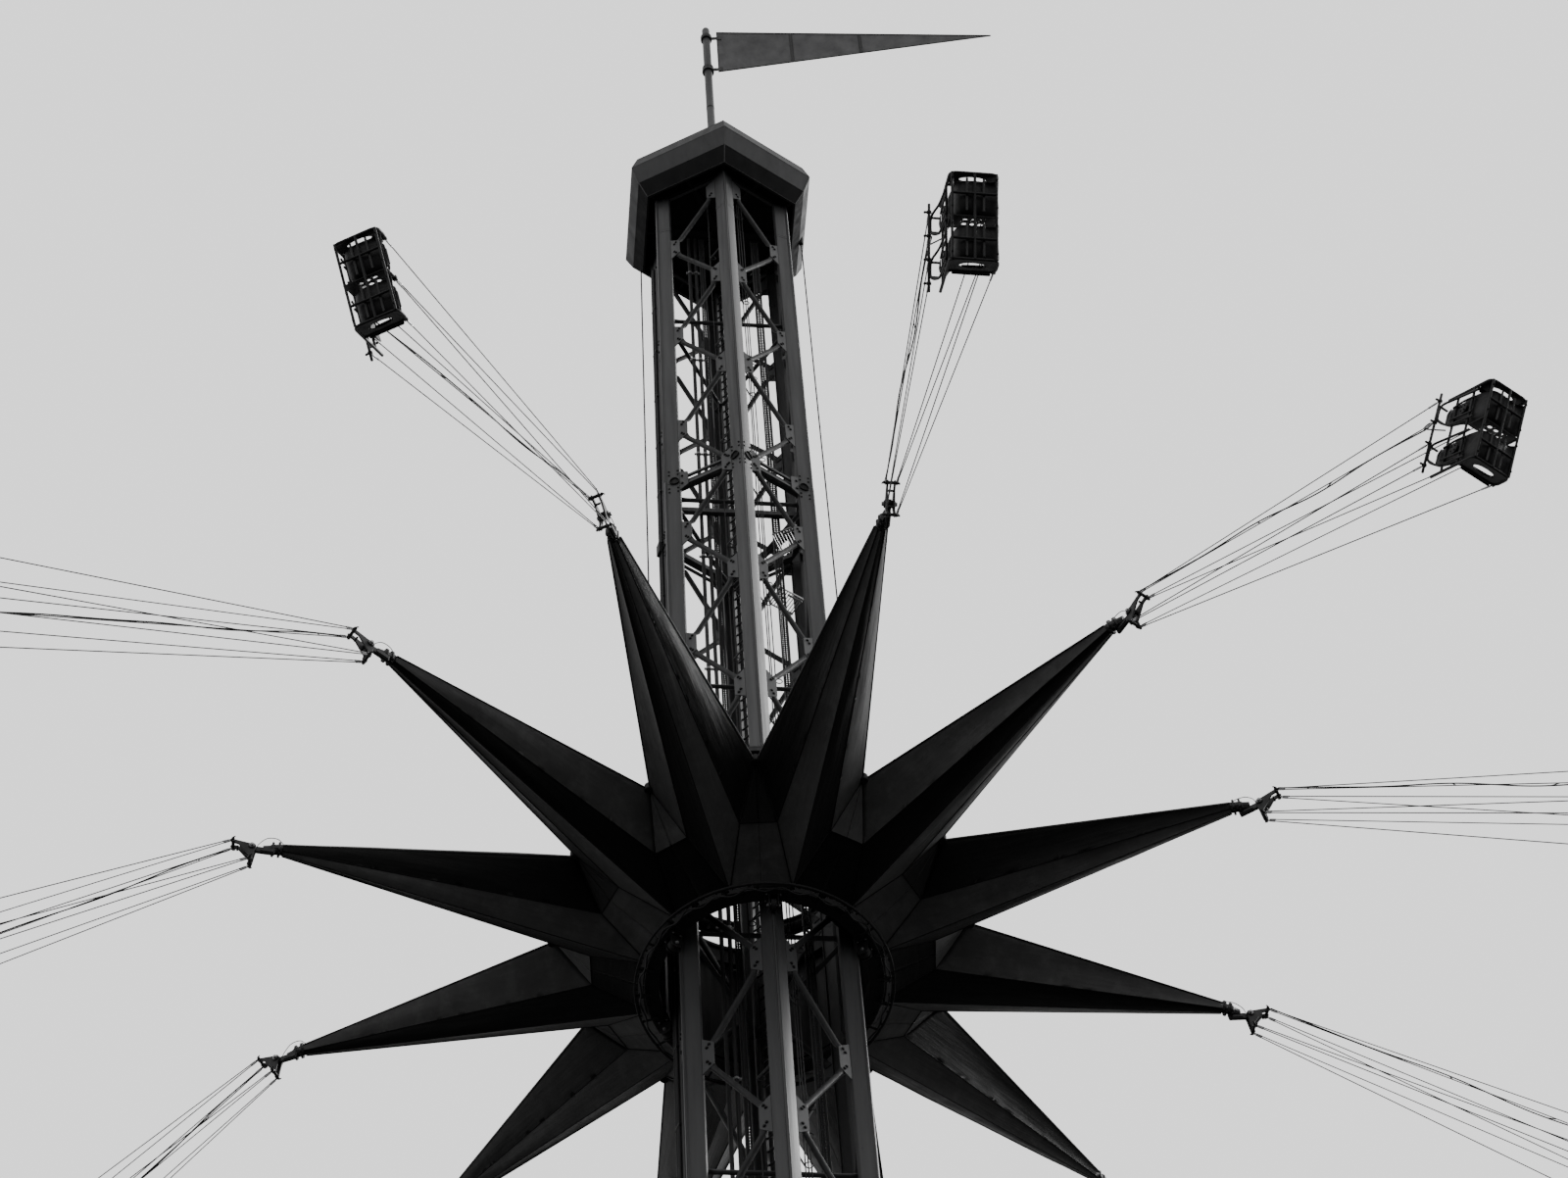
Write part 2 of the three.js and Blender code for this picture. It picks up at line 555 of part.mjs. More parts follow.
// Chair, in its own frame: the swing pin at the origin, Z up along the cables, Y the way the riders face.
// A yoke with the pin and two crossbars, eight cables, and two bucket seats side by side on one frame.
function chair() {
  const barLevel = -YOKE_DROP - 10;
  const cheekOffset = LUG_THICKNESS / 2 + RUNNING + YOKE_CHEEK / 2;
  const pin = new THREE.CylinderGeometry(PIN_RADIUS, PIN_RADIUS, 2 * cheekOffset, 8);
  const parts = [block(2 * YOKE_HALF, 2 * cheekOffset + YOKE_CHEEK, 26, 0, 0, barLevel)];
  for (const side of [-1, 1]) {
    parts.push(block(52, YOKE_CHEEK, 110, 0, side * cheekOffset, barLevel + 55));
    parts.push(block(30, 2 * CROSSBAR_HALF + 24, 26, side * YOKE_HALF, 0, barLevel));
  }
  parts.push(pin);
  const level = -SEAT_DISTANCE;
  const hookLevel = level + BACK_HEIGHT;
  const frontLevel = level + ARMREST_HEIGHT;
  const depth = FRONT_REACH - BACK_FACE;
  const seatMiddle = (FRONT_REACH + BACK_FACE) / 2;
  parts.push(block(2 * FRAME_HALF, depth, SEAT_BASE, 0, seatMiddle, level - SEAT_DROP));
  const sideHeight = SEAT_DROP + ARMREST_HEIGHT;
  for (const x of [-FRAME_HALF + SIDE_PLATE / 2, 0, FRAME_HALF - SIDE_PLATE / 2]) {
    parts.push(block(SIDE_PLATE, depth, sideHeight, x, seatMiddle, level + ARMREST_HEIGHT - sideHeight / 2));
  }
  const backHeight = BACK_HEIGHT + SEAT_DROP;
  for (const side of [-1, 1]) {
    const [x, y] = [side * SEAT_CENTRE, BACK_FACE + BACK_THICKNESS / 2];
    parts.push(block(SEAT_WIDTH, BACK_THICKNESS, backHeight, x, y, level + BACK_HEIGHT - backHeight / 2));
    const stub = BACK_FACE + BACK_THICKNESS / 2 - HOOK_REACH;
    parts.push(block(RAIL_STUB, stub, RAIL_STUB, x, HOOK_REACH + stub / 2, hookLevel - RAIL_STUB));
  }
  parts.push(block(2 * FRAME_HALF, BACK_RAIL, BACK_RAIL, 0, HOOK_REACH, hookLevel - BACK_RAIL / 2));
  for (let i = 0; i < 4; i += 1) {
    const hookX = (i - 1.5) * HOOK_SPACING;
    const frontX = [-FRAME_HALF + 12, -6, 6, FRAME_HALF - 12][i];
    const yokeX = (i < 2 ? -YOKE_HALF : YOKE_HALF) + (i % 2) * 12 - 6;
    parts.push(bar([yokeX, -CROSSBAR_HALF, barLevel], [hookX, HOOK_REACH, hookLevel], CABLE_RADIUS, 3));
    const front = [frontX, FRONT_REACH - 20, frontLevel - 6];
    parts.push(bar([yokeX, CROSSBAR_HALF, barLevel], front, CABLE_RADIUS, 3));
  }
  return fuse(parts);
}

add('base_frame', baseFrame(), 'steel');
for (let i = 0; i < CORNERS; i += 1) {
  add(`tower_column_${i + 1}`, towerColumn(60 * i), 'steel');
  add(`bracing_panel_${i + 1}`, bracingPanel(i), 'steel');
}

SPLICE_STEPS.forEach((step, i) => {
  add(`inner_ring_${i + 1}`, innerRing(SPLICE_LEVEL + step * HALF_PITCH), 'steel');
});
add('ladder', ladder(), 'steel');
PIPE_X.forEach((x, i) => {
  const pipe = bar([x, PIPE_Y, LADDER_BOTTOM], [x, PIPE_Y, LADDER_TOP], PIPE_RADIUS, 8);
  add(`service_pipe_${i + 1}`, pipe, 'black');
});
TRAYS.forEach((tray, i) => {
  add(`cable_tray_${i + 1}`, cableTray(tray), 'steel');
});
add('head_frame', headFrame(), 'steel');
add('cap_shell', capShell(), 'cap');
add('cap_roof', capRoof(), 'cap');
add('mast', mast(), 'steel');
add('vane', vane(), 'steel');
ROPE_HEADINGS.forEach((heading, i) => {
  add(`hoist_rope_${i + 1}`, hoistRope(heading), 'rope');
});
add('carriage_frame', carriageFrame(), 'steel');

const star = new THREE.Group();
star.rotation.z = radians(FIRST_ARM_HEADING);
ride.add(star);
add('star_hub', starHub(), 'black', star);
const armShape = starArm();
const chairShape = chair();
for (let i = 0; i < ARMS; i += 1) {
  const number = String(i + 1).padStart(2, '0');
  const heading = (360 * i) / ARMS;
  const arm = add(`star_arm_${number}`, armShape, 'cloth', star);
  arm.rotation.z = radians(heading - 90);
  const seat = add(`chair_${number}`, chairShape, 'black', star);
  const outwards = radians(heading - LAG - 90);
  const radial = new THREE.Vector3(Math.cos(outwards), Math.sin(outwards), 0);
  const rise = new THREE.Vector3(0, 0, 1);
  const swing = radians(SWING);
  const across = radial.clone().multiplyScalar(Math.cos(swing)).addScaledVector(rise, Math.sin(swing));
  const up = rise.clone().multiplyScalar(Math.cos(swing)).addScaledVector(radial, -Math.sin(swing));
  seat.setRotationFromMatrix(new THREE.Matrix4().makeBasis(across, up.clone().cross(across), up));
  seat.position.set(...place(heading, PIN_CIRCLE), PIN_LEVEL);
}

export default ride;
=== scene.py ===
"""Looks of the chair swing ride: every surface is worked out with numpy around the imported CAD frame."""
from functools import partial
from math import cos, pi, radians, sin

import bmesh
import bpy
import numpy as np
from bpy.props import FloatProperty, FloatVectorProperty, PointerProperty
from bpy.types import Operator, Panel, PropertyGroup
from mathutils import Matrix


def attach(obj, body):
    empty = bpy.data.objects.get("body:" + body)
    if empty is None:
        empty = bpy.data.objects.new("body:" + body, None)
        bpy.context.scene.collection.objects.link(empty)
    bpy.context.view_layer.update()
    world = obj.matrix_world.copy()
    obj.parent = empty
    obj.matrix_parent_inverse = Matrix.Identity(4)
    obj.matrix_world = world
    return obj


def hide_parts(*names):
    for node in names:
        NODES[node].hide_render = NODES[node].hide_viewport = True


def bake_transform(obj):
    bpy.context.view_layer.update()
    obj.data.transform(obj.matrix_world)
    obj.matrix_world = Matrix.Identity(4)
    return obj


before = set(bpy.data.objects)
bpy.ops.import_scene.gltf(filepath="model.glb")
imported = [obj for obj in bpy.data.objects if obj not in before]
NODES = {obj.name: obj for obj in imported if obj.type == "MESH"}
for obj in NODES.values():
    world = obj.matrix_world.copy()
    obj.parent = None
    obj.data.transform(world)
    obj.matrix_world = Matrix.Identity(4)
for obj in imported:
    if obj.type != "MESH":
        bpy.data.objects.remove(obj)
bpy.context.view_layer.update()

bl_info = {
    "name": "Chair swing ride",
    "version": (1, 0, 0),
    "blender": (4, 5, 0),
    "location": "3D View > Sidebar > Ride",
    "description": "Dresses the ride's tower, star and chairs with their real surfaces",
    "category": "Object",
}

# Tower, in metres, as the solids have it
CORNERS = 6
CORNER_HEADINGS = 60 * np.arange(CORNERS)
BOTH = np.array([-1, 1])
UPRIGHT = np.array([[1, 0, 0], [0, 0, 1], [0, -1, 0.0]])
SIDEWAYS = np.array([[0, 1, 0], [0, 0, 1], [1, 0, 0.0]])
CORNER_RADIUS = 0.72
FLANK = 0.121
APOTHEM = CORNER_RADIUS * cos(pi / 6) - 0.033
COLUMN_FOOT = 0.1503
COLUMN_TOP = 34.2
HALF_PITCH = 0.85
SPLICE_LEVEL = 28.77
STEPS = np.arange(-33, 7)
SPLICE_STEPS = np.array([0, -12, -24])
BAY_SPAN = CORNER_RADIUS - 2 * FLANK * cos(pi / 12) - 0.0006
SEAM_PITCH = 5.1
TRIANGLE_LEVELS = np.append([31.72, 28.56, 25.75], 22.57 - 2.55 * np.arange(8))

# Star and chairs
ARMS = 12
ARM_HEADINGS = 9.15 + 30.0 * np.arange(ARMS)
HUB_RADIUS = 0.85
HUB_BOTTOM = 22.46
HUB_TOP = 23.7
ARM_END = 3.5
TIP_LEVEL = 23.07
PIN_CIRCLE = 3.716
PIN_LEVEL = 23.02
LAG = 8.0
SWING = radians(57)
SEAT_LEVEL = -3.74


def unit(vectors):
    """The vectors scaled to length one along their last axis."""
    vectors = np.asarray(vectors, float)
    return vectors / np.maximum(np.linalg.norm(vectors, axis=-1, keepdims=True), 1e-12)


def spoke(heading):
    """Axes of a place at a heading, measured from -Y towards +X: outwards, sideways and up."""
    a = radians(heading)
    return np.array([[sin(a), -cos(a), 0], [cos(a), sin(a), 0], [0, 0, 1.0]])


def yawed(angle):
    """Axes turned anticlockwise about Z."""
    return np.array([[cos(angle), sin(angle), 0], [-sin(angle), cos(angle), 0], [0, 0, 1.0]])


def spots(*coordinates):
    """Points from their coordinates, each a number or an array."""
    return np.stack(np.broadcast_arrays(*coordinates), -1).astype(float)


def raised(loops):
    """Rings of points from pairs of a flat loop (k, 2) and its level."""
    return np.array([spots(*np.asarray(loop, float).T, level) for loop, level in loops])


def grid_faces(rows, columns, wrap_rows=False, wrap_columns=False):
    """Quads between neighbours on a grid of points that are numbered row by row."""
    r = np.arange(rows if wrap_rows else rows - 1)[:, None]
    c = np.arange(columns if wrap_columns else columns - 1)[None, :]
    r2, c2 = (r + 1) % rows, (c + 1) % columns
    quads = [r * columns + c, r2 * columns + c, r2 * columns + c2, r * columns + c2]
    return np.stack(np.broadcast_arrays(*quads), -1).reshape(-1, 4)


class Form:
    """Surfaces as arrays: points (n, 3), groups of faces (m, corners) with the number of their coat, and a
    pattern place (n, 2) for each point."""

    def __init__(self, points, groups, places=None):
        self.points = np.asarray(points, float).reshape(-1, 3)
        self.groups = [(np.asarray(faces, int), coat) for faces, coat in groups]
        self.places = np.zeros((len(self.points), 2)) if places is None else np.asarray(places).reshape(-1, 2)

    def outward(self):
        """Turns every face round if the enclosed volume, a sum of tetrahedra from one point, is negative."""
        volume = 0.0
        moved = self.points - self.points[0]
        for faces, _ in self.groups:
            corners = moved[faces]
            for i in range(1, faces.shape[1] - 1):
                cross = np.cross(corners[:, i], corners[:, i + 1])
                volume += np.einsum("ij,ij->", corners[:, 0], cross)
        return self.flipped() if volume < 0 else self

    def flipped(self):
        """The form with its faces turned round."""
        return Form(self.points, [(faces[:, ::-1], coat) for faces, coat in self.groups], self.places)

    def copies(self, origins, axes=np.eye(3)):
        """The form repeated at origins (n, 3), with its X, Y and Z along the rows of axes (n, 3, 3)."""
        origins = np.atleast_2d(np.asarray(origins, float))
        axes = np.broadcast_to(np.asarray(axes, float), (len(origins), 3, 3))
        points = origins[:, None] + np.einsum("pk,nkj->npj", self.points, axes)
        places = np.tile(self.places, (len(origins), 1))
        form = Form(points, self.repeated(len(origins)), places)
        return form.flipped() if np.linalg.det(axes[0]) < 0 else form

    def repeated(self, count):
        """The faces of a number of copies whose points follow each other."""
        shift = (np.arange(count) * len(self.points))[:, None, None]
        return [((faces[None] + shift).reshape(-1, faces.shape[1]), coat) for faces, coat in self.groups]

    def placed(self, origin=(0, 0, 0), axes=np.eye(3)):
        """The form moved to an origin and turned to axes."""
        return self.copies([origin], axes)

    def turned(self, headings):
        """Copies of a form whose X points outwards, turned to each heading."""
        headings = np.atleast_1d(headings)
        return self.copies(np.zeros((len(headings), 3)), np.array([spoke(h) for h in headings]))


def join(*forms):
    """One form of several."""
    groups, count = [], 0
    for form in forms:
        groups += [(faces + count, coat) for faces, coat in form.groups]
        count += len(form.points)
    points = np.concatenate([form.points for form in forms])
    return Form(points, groups, np.concatenate([form.places for form in forms]))


def loft(rings, coat=0, closed=False, run=None):
    """A surface over rings (n, k, 3) of points, with flat ends, or closed on itself like a hoop. A pattern
    place is the length run along the rings, and the share of a turn round them."""
    rings = np.asarray(rings, float)
    n, k = rings.shape[:2]
    if run is None:
        steps = np.linalg.norm(np.diff(rings.mean(1), axis=0), axis=-1)
        run = np.concatenate([[0], np.cumsum(steps)])
    places = spots(run[:, None], np.arange(k) / k)
    groups = [(grid_faces(n, k, closed, True), coat)]
    if not closed:
        groups.append((np.array([np.arange(k), n * k - 1 - np.arange(k)]), coat))
    return Form(rings, groups, places).outward()


def sheet(points, thickness, coat=0):
    """A grid of points (n, m, 3) given a thickness along the cross product of its two directions."""
    points = np.asarray(points, float)
    n, m = points.shape[:2]
    normal = unit(np.cross(np.gradient(points, axis=0), np.gradient(points, axis=1)))
    faces = grid_faces(n, m)
    index = np.arange(n * m).reshape(n, m)
    rim = np.concatenate([index[0], index[1:, -1], index[-1, -2::-1], index[-2:0:-1, 0]])
    after = np.roll(rim, -1)
    rim_faces = np.stack([rim, rim + n * m, after + n * m, after], -1)
    groups = [(faces, coat), (faces[:, ::-1] + n * m, coat), (rim_faces[:, ::-1], coat)]
    both = np.concatenate([points.reshape(-1, 3), (points - normal * thickness).reshape(-1, 3)])
    return Form(both, groups).outward()


def circle(sides, start=0.0):
    """Points (sides, 2) on a circle of radius one."""
    a = start + np.arange(sides) * 2 * pi / sides
    return np.stack([np.cos(a), np.sin(a)], -1)


def spin(profile, sides=24, coat=0, start=0.0):
    """A profile of (radius, level) pairs turned about Z, with flat ends. Ring i is a circle of radius i."""
    profile = np.asarray(profile, float)
    rings = np.empty((len(profile), sides, 3))
    rings[..., :2] = profile[:, 0, None, None] * circle(sides, start)
    rings[..., 2] = profile[:, 1, None]
    return loft(rings, coat)


def hoop(section, sides=48, coat=0, start=0.0):
    """A loop of (radius, level) pairs carried round Z and closed on itself."""
    section = np.asarray(section, float)
    rings = np.empty((sides, len(section), 3))
    rings[..., :2] = section[None, :, 0, None] * circle(sides, start)[:, None]
    rings[..., 2] = section[:, 1]
    run = np.arange(sides) * 2 * pi / sides * section[:, 0].mean()
    return loft(rings, coat, closed=True, run=run)


def band(inner, outer, low, high, sides=24, coat=0):
    """A hoop with a plain rectangle of radius and level as its section."""
    return hoop([(inner, low), (outer, low), (outer, high), (inner, high)], sides, coat)


def arc_bar(inner, outer, low, high, reach, steps, ease=0.001):
    """A rectangle of radius and level with eased corners, carried round Z to an angle on both sides of X."""
    section = np.array([(inner + ease, low + 2 * ease), (inner + ease, low + ease), (outer - ease, low),
                        (outer - ease, low + ease), (outer - ease, high - 2 * ease), (outer - ease, high - ease),
                        (inner + ease, high), (inner + ease, high - ease)])
    a = np.radians(np.linspace(-reach, reach, steps + 1))[:, None]
    return loft(spots(section[:, 0] * np.cos(a), section[:, 0] * np.sin(a), section[:, 1]))


PLAIN = ((0, 0, 1, 1, 0), (1, 0, 1, 1, 0))


def rods(starts, ends, radius, sides=8, normal=(0, 0, 1), stations=PLAIN, coat=0):
    """Round bars from starts (n, 3) to ends (n, 3). A station is a place on the bar, as a share of its
    length and a distance past it, the scale of the section across and along the normal, and a shift."""
    starts, ends = np.atleast_2d(np.asarray(starts, float)), np.atleast_2d(np.asarray(ends, float))
    length = np.linalg.norm(ends - starts, axis=-1)[:, None, None]
    along = unit(ends - starts)
    normal = np.broadcast_to(np.asarray(normal, float), along.shape)
    flat = normal - (normal * along).sum(-1, keepdims=True) * along
    spare = np.cross(along, np.array([0.31, 0.83, 0.46]))
    v = unit(np.where(np.linalg.norm(flat, axis=-1, keepdims=True) > 1e-3, flat, spare))
    u = np.cross(v, along)
    share, past, wide, high, shift = np.asarray(stations, float).T
    run = share[:, None] * length + past[:, None]
    place = starts[:, None] + along[:, None] * run + v[:, None] * shift[:, None]
    ring = circle(sides, pi / sides) * radius
    points = place[:, :, None] + u[:, None, None] * (ring[:, 0] * wide[:, None])[None, ..., None]
    points = points + v[:, None, None] * (ring[:, 1] * high[:, None])[None, ..., None]
    one = loft(points[0], coat)
    places = spots(run, np.arange(sides) / sides)
    return Form(points, one.repeated(len(points)), places)


def tube(path, radius, sides=8, normal=(0, 0, 1), coat=0, closed=False):
    """A round tube along a path (n, 3); its section stands square to the path and one way to the normal."""
    path = np.asarray(path, float)
    if closed:
        along = unit(np.roll(path, -1, 0) - np.roll(path, 1, 0))
    else:
        along = unit(np.gradient(path, axis=0))
    u = unit(np.cross(along, np.asarray(normal, float)))
    v = np.cross(u, along)
    radius = np.broadcast_to(np.asarray(radius, float), (len(path),))[:, None, None]
    ring = circle(sides)
    rings = path[:, None] + radius * (ring[:, :1] * u[:, None] + ring[:, 1:] * v[:, None])
    return loft(rings, coat, closed)


def curve(points, count):
    """A smooth path of count points through a few points: a cubic between each pair, with each slope taken
    from the points on both sides."""
    points = np.asarray(points, float)
    padded = np.concatenate([2 * points[:1] - points[1:2], points, 2 * points[-1:] - points[-2:-1]])
    t = np.linspace(0, len(points) - 1 - 1e-9, count)
    i = t.astype(int)
    f = (t - i)[:, None]
    a, b, c, d = (padded[i + k] for k in range(4))
    return 0.5 * (2 * b + (c - a) * f + (2 * a - 5 * b + 4 * c - d) * f**2 + (3 * b - a - 3 * c + d) * f**3)


def bend(points, radius, count=5):
    """A path (n, 3) with each inner corner rounded: a parabola between points a radius away from it."""
    points = np.asarray(points, float)
    before, corner, after = points[:-2], points[1:-1], points[2:]
    a = corner + unit(before - corner) * radius
    b = corner + unit(after - corner) * radius
    t = np.linspace(0, 1, count)[None, :, None]
    arcs = a[:, None] * (1 - t) ** 2 + 2 * corner[:, None] * t * (1 - t) + b[:, None] * t**2
    return np.concatenate([points[:1], arcs.reshape(-1, 3), points[-1:]])


def block_prototype():
    """A chamfered block: 24 corners as signs, and the axis that each reaches fully. Its faces are the corners
    furthest out in each of 26 directions, taken round that direction so that they look outwards."""
    signs = np.tile(np.array(list(np.ndindex(2, 2, 2))) * 2.0 - 1, (3, 1))
    reach = np.repeat(np.eye(3), 8, axis=0)
    solid = signs * (0.7 + 0.3 * reach)
    found = {3: [], 4: []}
    for direction in np.array(list(np.ndindex(3, 3, 3))) - 1.0:
        height = solid @ unit(direction)
        corners = np.flatnonzero(height > height.max() - 1e-6)
        if len(corners) in found:
            around = solid[corners] - solid[corners].mean(0)
            turn = np.arctan2(around @ np.cross(unit(direction), around[0]), around @ around[0])
            found[len(corners)].append(corners[np.argsort(turn)])
    return signs, reach, [np.array(found[4]), np.array(found[3])]


BLOCK_SIGNS, BLOCK_REACH, BLOCK_FACES = block_prototype()


def blocks(centres, sizes, chamfer=0.003, axes=np.eye(3), coat=0):
    """Blocks with chamfered edges at centres (n, 3), of sizes (n, 3) along the rows of axes."""
    centres = np.atleast_2d(np.asarray(centres, float))
    half = np.broadcast_to(np.asarray(sizes, float) / 2, centres.shape)
    axes = np.broadcast_to(np.asarray(axes, float), (len(centres), 3, 3))
    local = BLOCK_SIGNS * (half[:, None] - chamfer * (1 - BLOCK_REACH))
    points = centres[:, None] + np.einsum("npk,nkj->npj", local, axes)
    one = Form(points[0], [(faces, coat) for faces in BLOCK_FACES])
    return Form(points, one.repeated(len(centres)))


def inset(outline, distance):
    """A loop of points (k, 2), run anticlockwise, moved inwards along the bisector at each corner."""
    edge = unit(np.roll(outline, -1, 0) - outline)
    normal = np.stack([-edge[:, 1], edge[:, 0]], -1)
    before = np.roll(normal, 1, 0)
    share = 1 + (normal * before).sum(-1, keepdims=True)
    return outline + distance * (normal + before) / share


def plate(outline, thickness, chamfer=0.0015, coat=0):
    """A plate with chamfered edges: an anticlockwise loop (k, 2) in X and Y, from level 0 to a thickness."""
    outline = np.asarray(outline, float)
    small = inset(outline, chamfer)
    loops = [(small, 0), (outline, chamfer), (outline, thickness - chamfer), (small, thickness)]
    return loft(raised(loops), coat)


def rounded(outline, radius, count=5):
    """An anticlockwise loop with each corner replaced by an arc of count points."""
    outline = np.asarray(outline, float)
    before, after = np.roll(outline, 1, 0), np.roll(outline, -1, 0)
    a, b = unit(before - outline), unit(after - outline)
    half = np.arccos(np.clip((a * b).sum(-1), -1, 1)) / 2
    radius = np.broadcast_to(radius, len(outline))
    run = (radius / np.tan(half))[:, None]
    centre = outline + unit(a + b) * (radius / np.sin(half))[:, None]
    first, last = outline + a * run - centre, outline + b * run - centre
    t = np.linspace(0, 1, count)[None, :, None]
    sweep = unit(first[:, None] * (1 - t) + last[:, None] * t) * radius[:, None, None]
    return (centre[:, None] + sweep).reshape(-1, 2)


def ring_plate(outline, hole, thickness, coat=0):
    """A plate with one opening: an outer and an inner loop of as many points each, joined on both faces."""
    loops = [(outline, 0), (outline, thickness), (hole, thickness), (hole, 0)]
    return loft(np.swapaxes(raised(loops), 0, 1), coat, closed=True, run=np.arange(len(outline)) * 0.01)


def bolts(centres, normals, size, coat=1):
    """Hexagon bolt heads on washers at centres (n, 3), standing along normals (n, 3)."""
    centres = np.atleast_2d(np.asarray(centres, float))
    z = unit(np.broadcast_to(np.asarray(normals, float), centres.shape))
    x = unit(np.cross(z, np.array([0.13, 0.37, 0.92])))
    axes = np.stack([x, np.cross(z, x), z], 1)
    profile = np.array([(1.35, -0.1), (1.35, 0.22), (0.95, 0.24), (0.95, 0.85), (0.78, 1.0)]) * size
    return spin(profile, 6, coat).copies(centres, axes)


def frame_of(z, x=(0, 0, 1)):
    """Axes (3, 3) whose Z is given and whose X lies nearest to another direction."""
    z = unit(z)
    x = unit(np.asarray(x, float) - np.dot(x, z) * z)
    return np.array([x, np.cross(z, x), z])


def make(name, form, body, finishes, nodes=(), angle=32, merge=False, blend=None):
    """Puts a form into a mesh object with the finishes named, smooth up to an angle, and lets it ride on a body;
    when a blend is given it only bakes the object's placement into its mesh.
    """
    mesh = bpy.data.meshes.new(name)
    sizes = np.concatenate([np.full(len(faces), faces.shape[1]) for faces, _ in form.groups])
    loops = np.concatenate([faces.reshape(-1) for faces, _ in form.groups])
    coat = np.concatenate([np.full(len(faces), number) for faces, number in form.groups])
    for items, count in ((mesh.vertices, len(form.points)), (mesh.loops, len(loops)), (mesh.polygons, len(sizes))):
        items.add(count)
    mesh.vertices.foreach_set("co", form.points.astype(np.float32).reshape(-1))
    mesh.loops.foreach_set("vertex_index", loops.astype(np.int32))
    for field, values in (("loop_start", np.cumsum(sizes) - sizes), ("loop_total", sizes), ("material_index", coat)):
        mesh.polygons.foreach_set(field, values.astype(np.int32))
    mesh.polygons.foreach_set("use_smooth", np.ones(len(sizes), bool))
    mesh.update(calc_edges=True)
    places = np.concatenate([unwrapped(form.places[faces]).reshape(-1, 2) for faces, _ in form.groups])
    mesh.uv_layers.new(name="pattern").data.foreach_set("uv", places.astype(np.float32).reshape(-1))
    if merge:
        merge_seams(mesh)
    mesh.set_sharp_from_angle(angle=radians(angle))
    for material in coats(finishes):
        mesh.materials.append(material)
    obj = bpy.data.objects.new(name, mesh)
    bpy.context.scene.collection.objects.link(obj)
    if blend:
        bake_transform(obj)
    else:
        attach(obj, body)
    if nodes:
        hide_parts(*nodes)
    return obj


def unwrapped(places):
    """Pattern places of faces (m, corners, 2), where the share of a turn passes one instead of dropping."""
    turn = places[..., 1]
    low = (turn.max(1, keepdims=True) - turn > 0.55) & (turn.max(1, keepdims=True) < 1)
    return np.stack([places[..., 0], turn + low], -1)


def merge_seams(mesh):
    """Joins points that lie on each other along the seams between patches."""
    work = bmesh.new()
    work.from_mesh(mesh)
    bmesh.ops.remove_doubles(work, verts=work.verts, dist=2e-5)
    work.to_mesh(mesh)
    work.free()


def node(tree, kind, inputs=(), **settings):
    """A shader node with its settings; each input is a socket to link, or a constant."""
    made = tree.nodes.new(kind)
    for name, value in settings.items():
        setattr(made, name, value)
    for name, value in dict(inputs).items():
        socket = made.inputs[name]
        if isinstance(value, bpy.types.NodeSocket):
            tree.links.new(value, socket)
        else:
            socket.default_value = value
    return made


def ramp(tree, factor, stops):
    """A colour ramp of greys or colours over a factor."""
    made = node(tree, "ShaderNodeValToRGB", {"Fac": factor})
    elements = made.color_ramp.elements
    while len(elements) < len(stops):
        elements.new(0.5)
    for element, (place, colour) in zip(elements, stops):
        element.position = place
        element.color = tuple(colour)[:3] + (1,) if hasattr(colour, "__len__") else (colour,) * 3 + (1,)
    return made.outputs["Color"]


def shade(colour, factor):
    """A colour made darker or lighter."""
    return tuple(min(1.0, c * factor) for c in tuple(colour)[:3])


class Surface:
    """A material in the making: its nodes, its shader's sockets, and the coordinates that its patterns read."""

    def __init__(self, name, metallic=0.0, shine=0.5):
        self.material = bpy.data.materials.new(name)
        self.material.use_nodes = True
        self.tree = self.material.node_tree
        self.shader = self.tree.nodes["Principled BSDF"].inputs
        self.shader["Metallic"].default_value = metallic
        self.shader["Specular IOR Level"].default_value = shine
        coordinates = node(self.tree, "ShaderNodeTexCoord").outputs
        self.place, self.flat = coordinates["Object"], coordinates["UV"]

    def noise(self, vector, scale, detail=4.0, roughness=0.55, stretch=None):
        """A noise pattern on a vector, which may be stretched first. Scale is patterns per metre."""
        if stretch:
            vector = node(self.tree, "ShaderNodeMapping", {"Vector": vector, "Scale": stretch}).outputs[0]
        inputs = {"Vector": vector, "Scale": scale, "Detail": detail, "Roughness": roughness}
        return node(self.tree, "ShaderNodeTexNoise", inputs).outputs["Fac"]

    def ramp(self, factor, *stops):
        """A ramp of greys or colours over a factor."""
        return ramp(self.tree, factor, stops)

    def mixed(self, factor, a, b, kind="MIX"):
        """One colour over another, by a factor."""
        made = node(self.tree, "ShaderNodeMix", data_type="RGBA", blend_type=kind)
        for index, value in ((0, factor), (6, a), (7, b)):
            if isinstance(value, bpy.types.NodeSocket):
                self.tree.links.new(value, made.inputs[index])
            else:
                made.inputs[index].default_value = (*value, 1) if index else value
        return made.outputs[2]

    def bump(self, height, distance, strength, normal=None):
        """A bump from a height pattern, over another bump if there is one."""
        inputs = {"Height": height, "Distance": distance, "Strength": strength}
        if normal:
            inputs["Normal"] = normal
        return node(self.tree, "ShaderNodeBump", inputs).outputs["Normal"]

    def finished(self, colour, roughness, normal):
        """The material, with these three on its shader."""
        for name, socket in (("Base Color", colour), ("Roughness", roughness), ("Normal", normal)):
            self.tree.links.new(socket, self.shader[name])
        return self.material


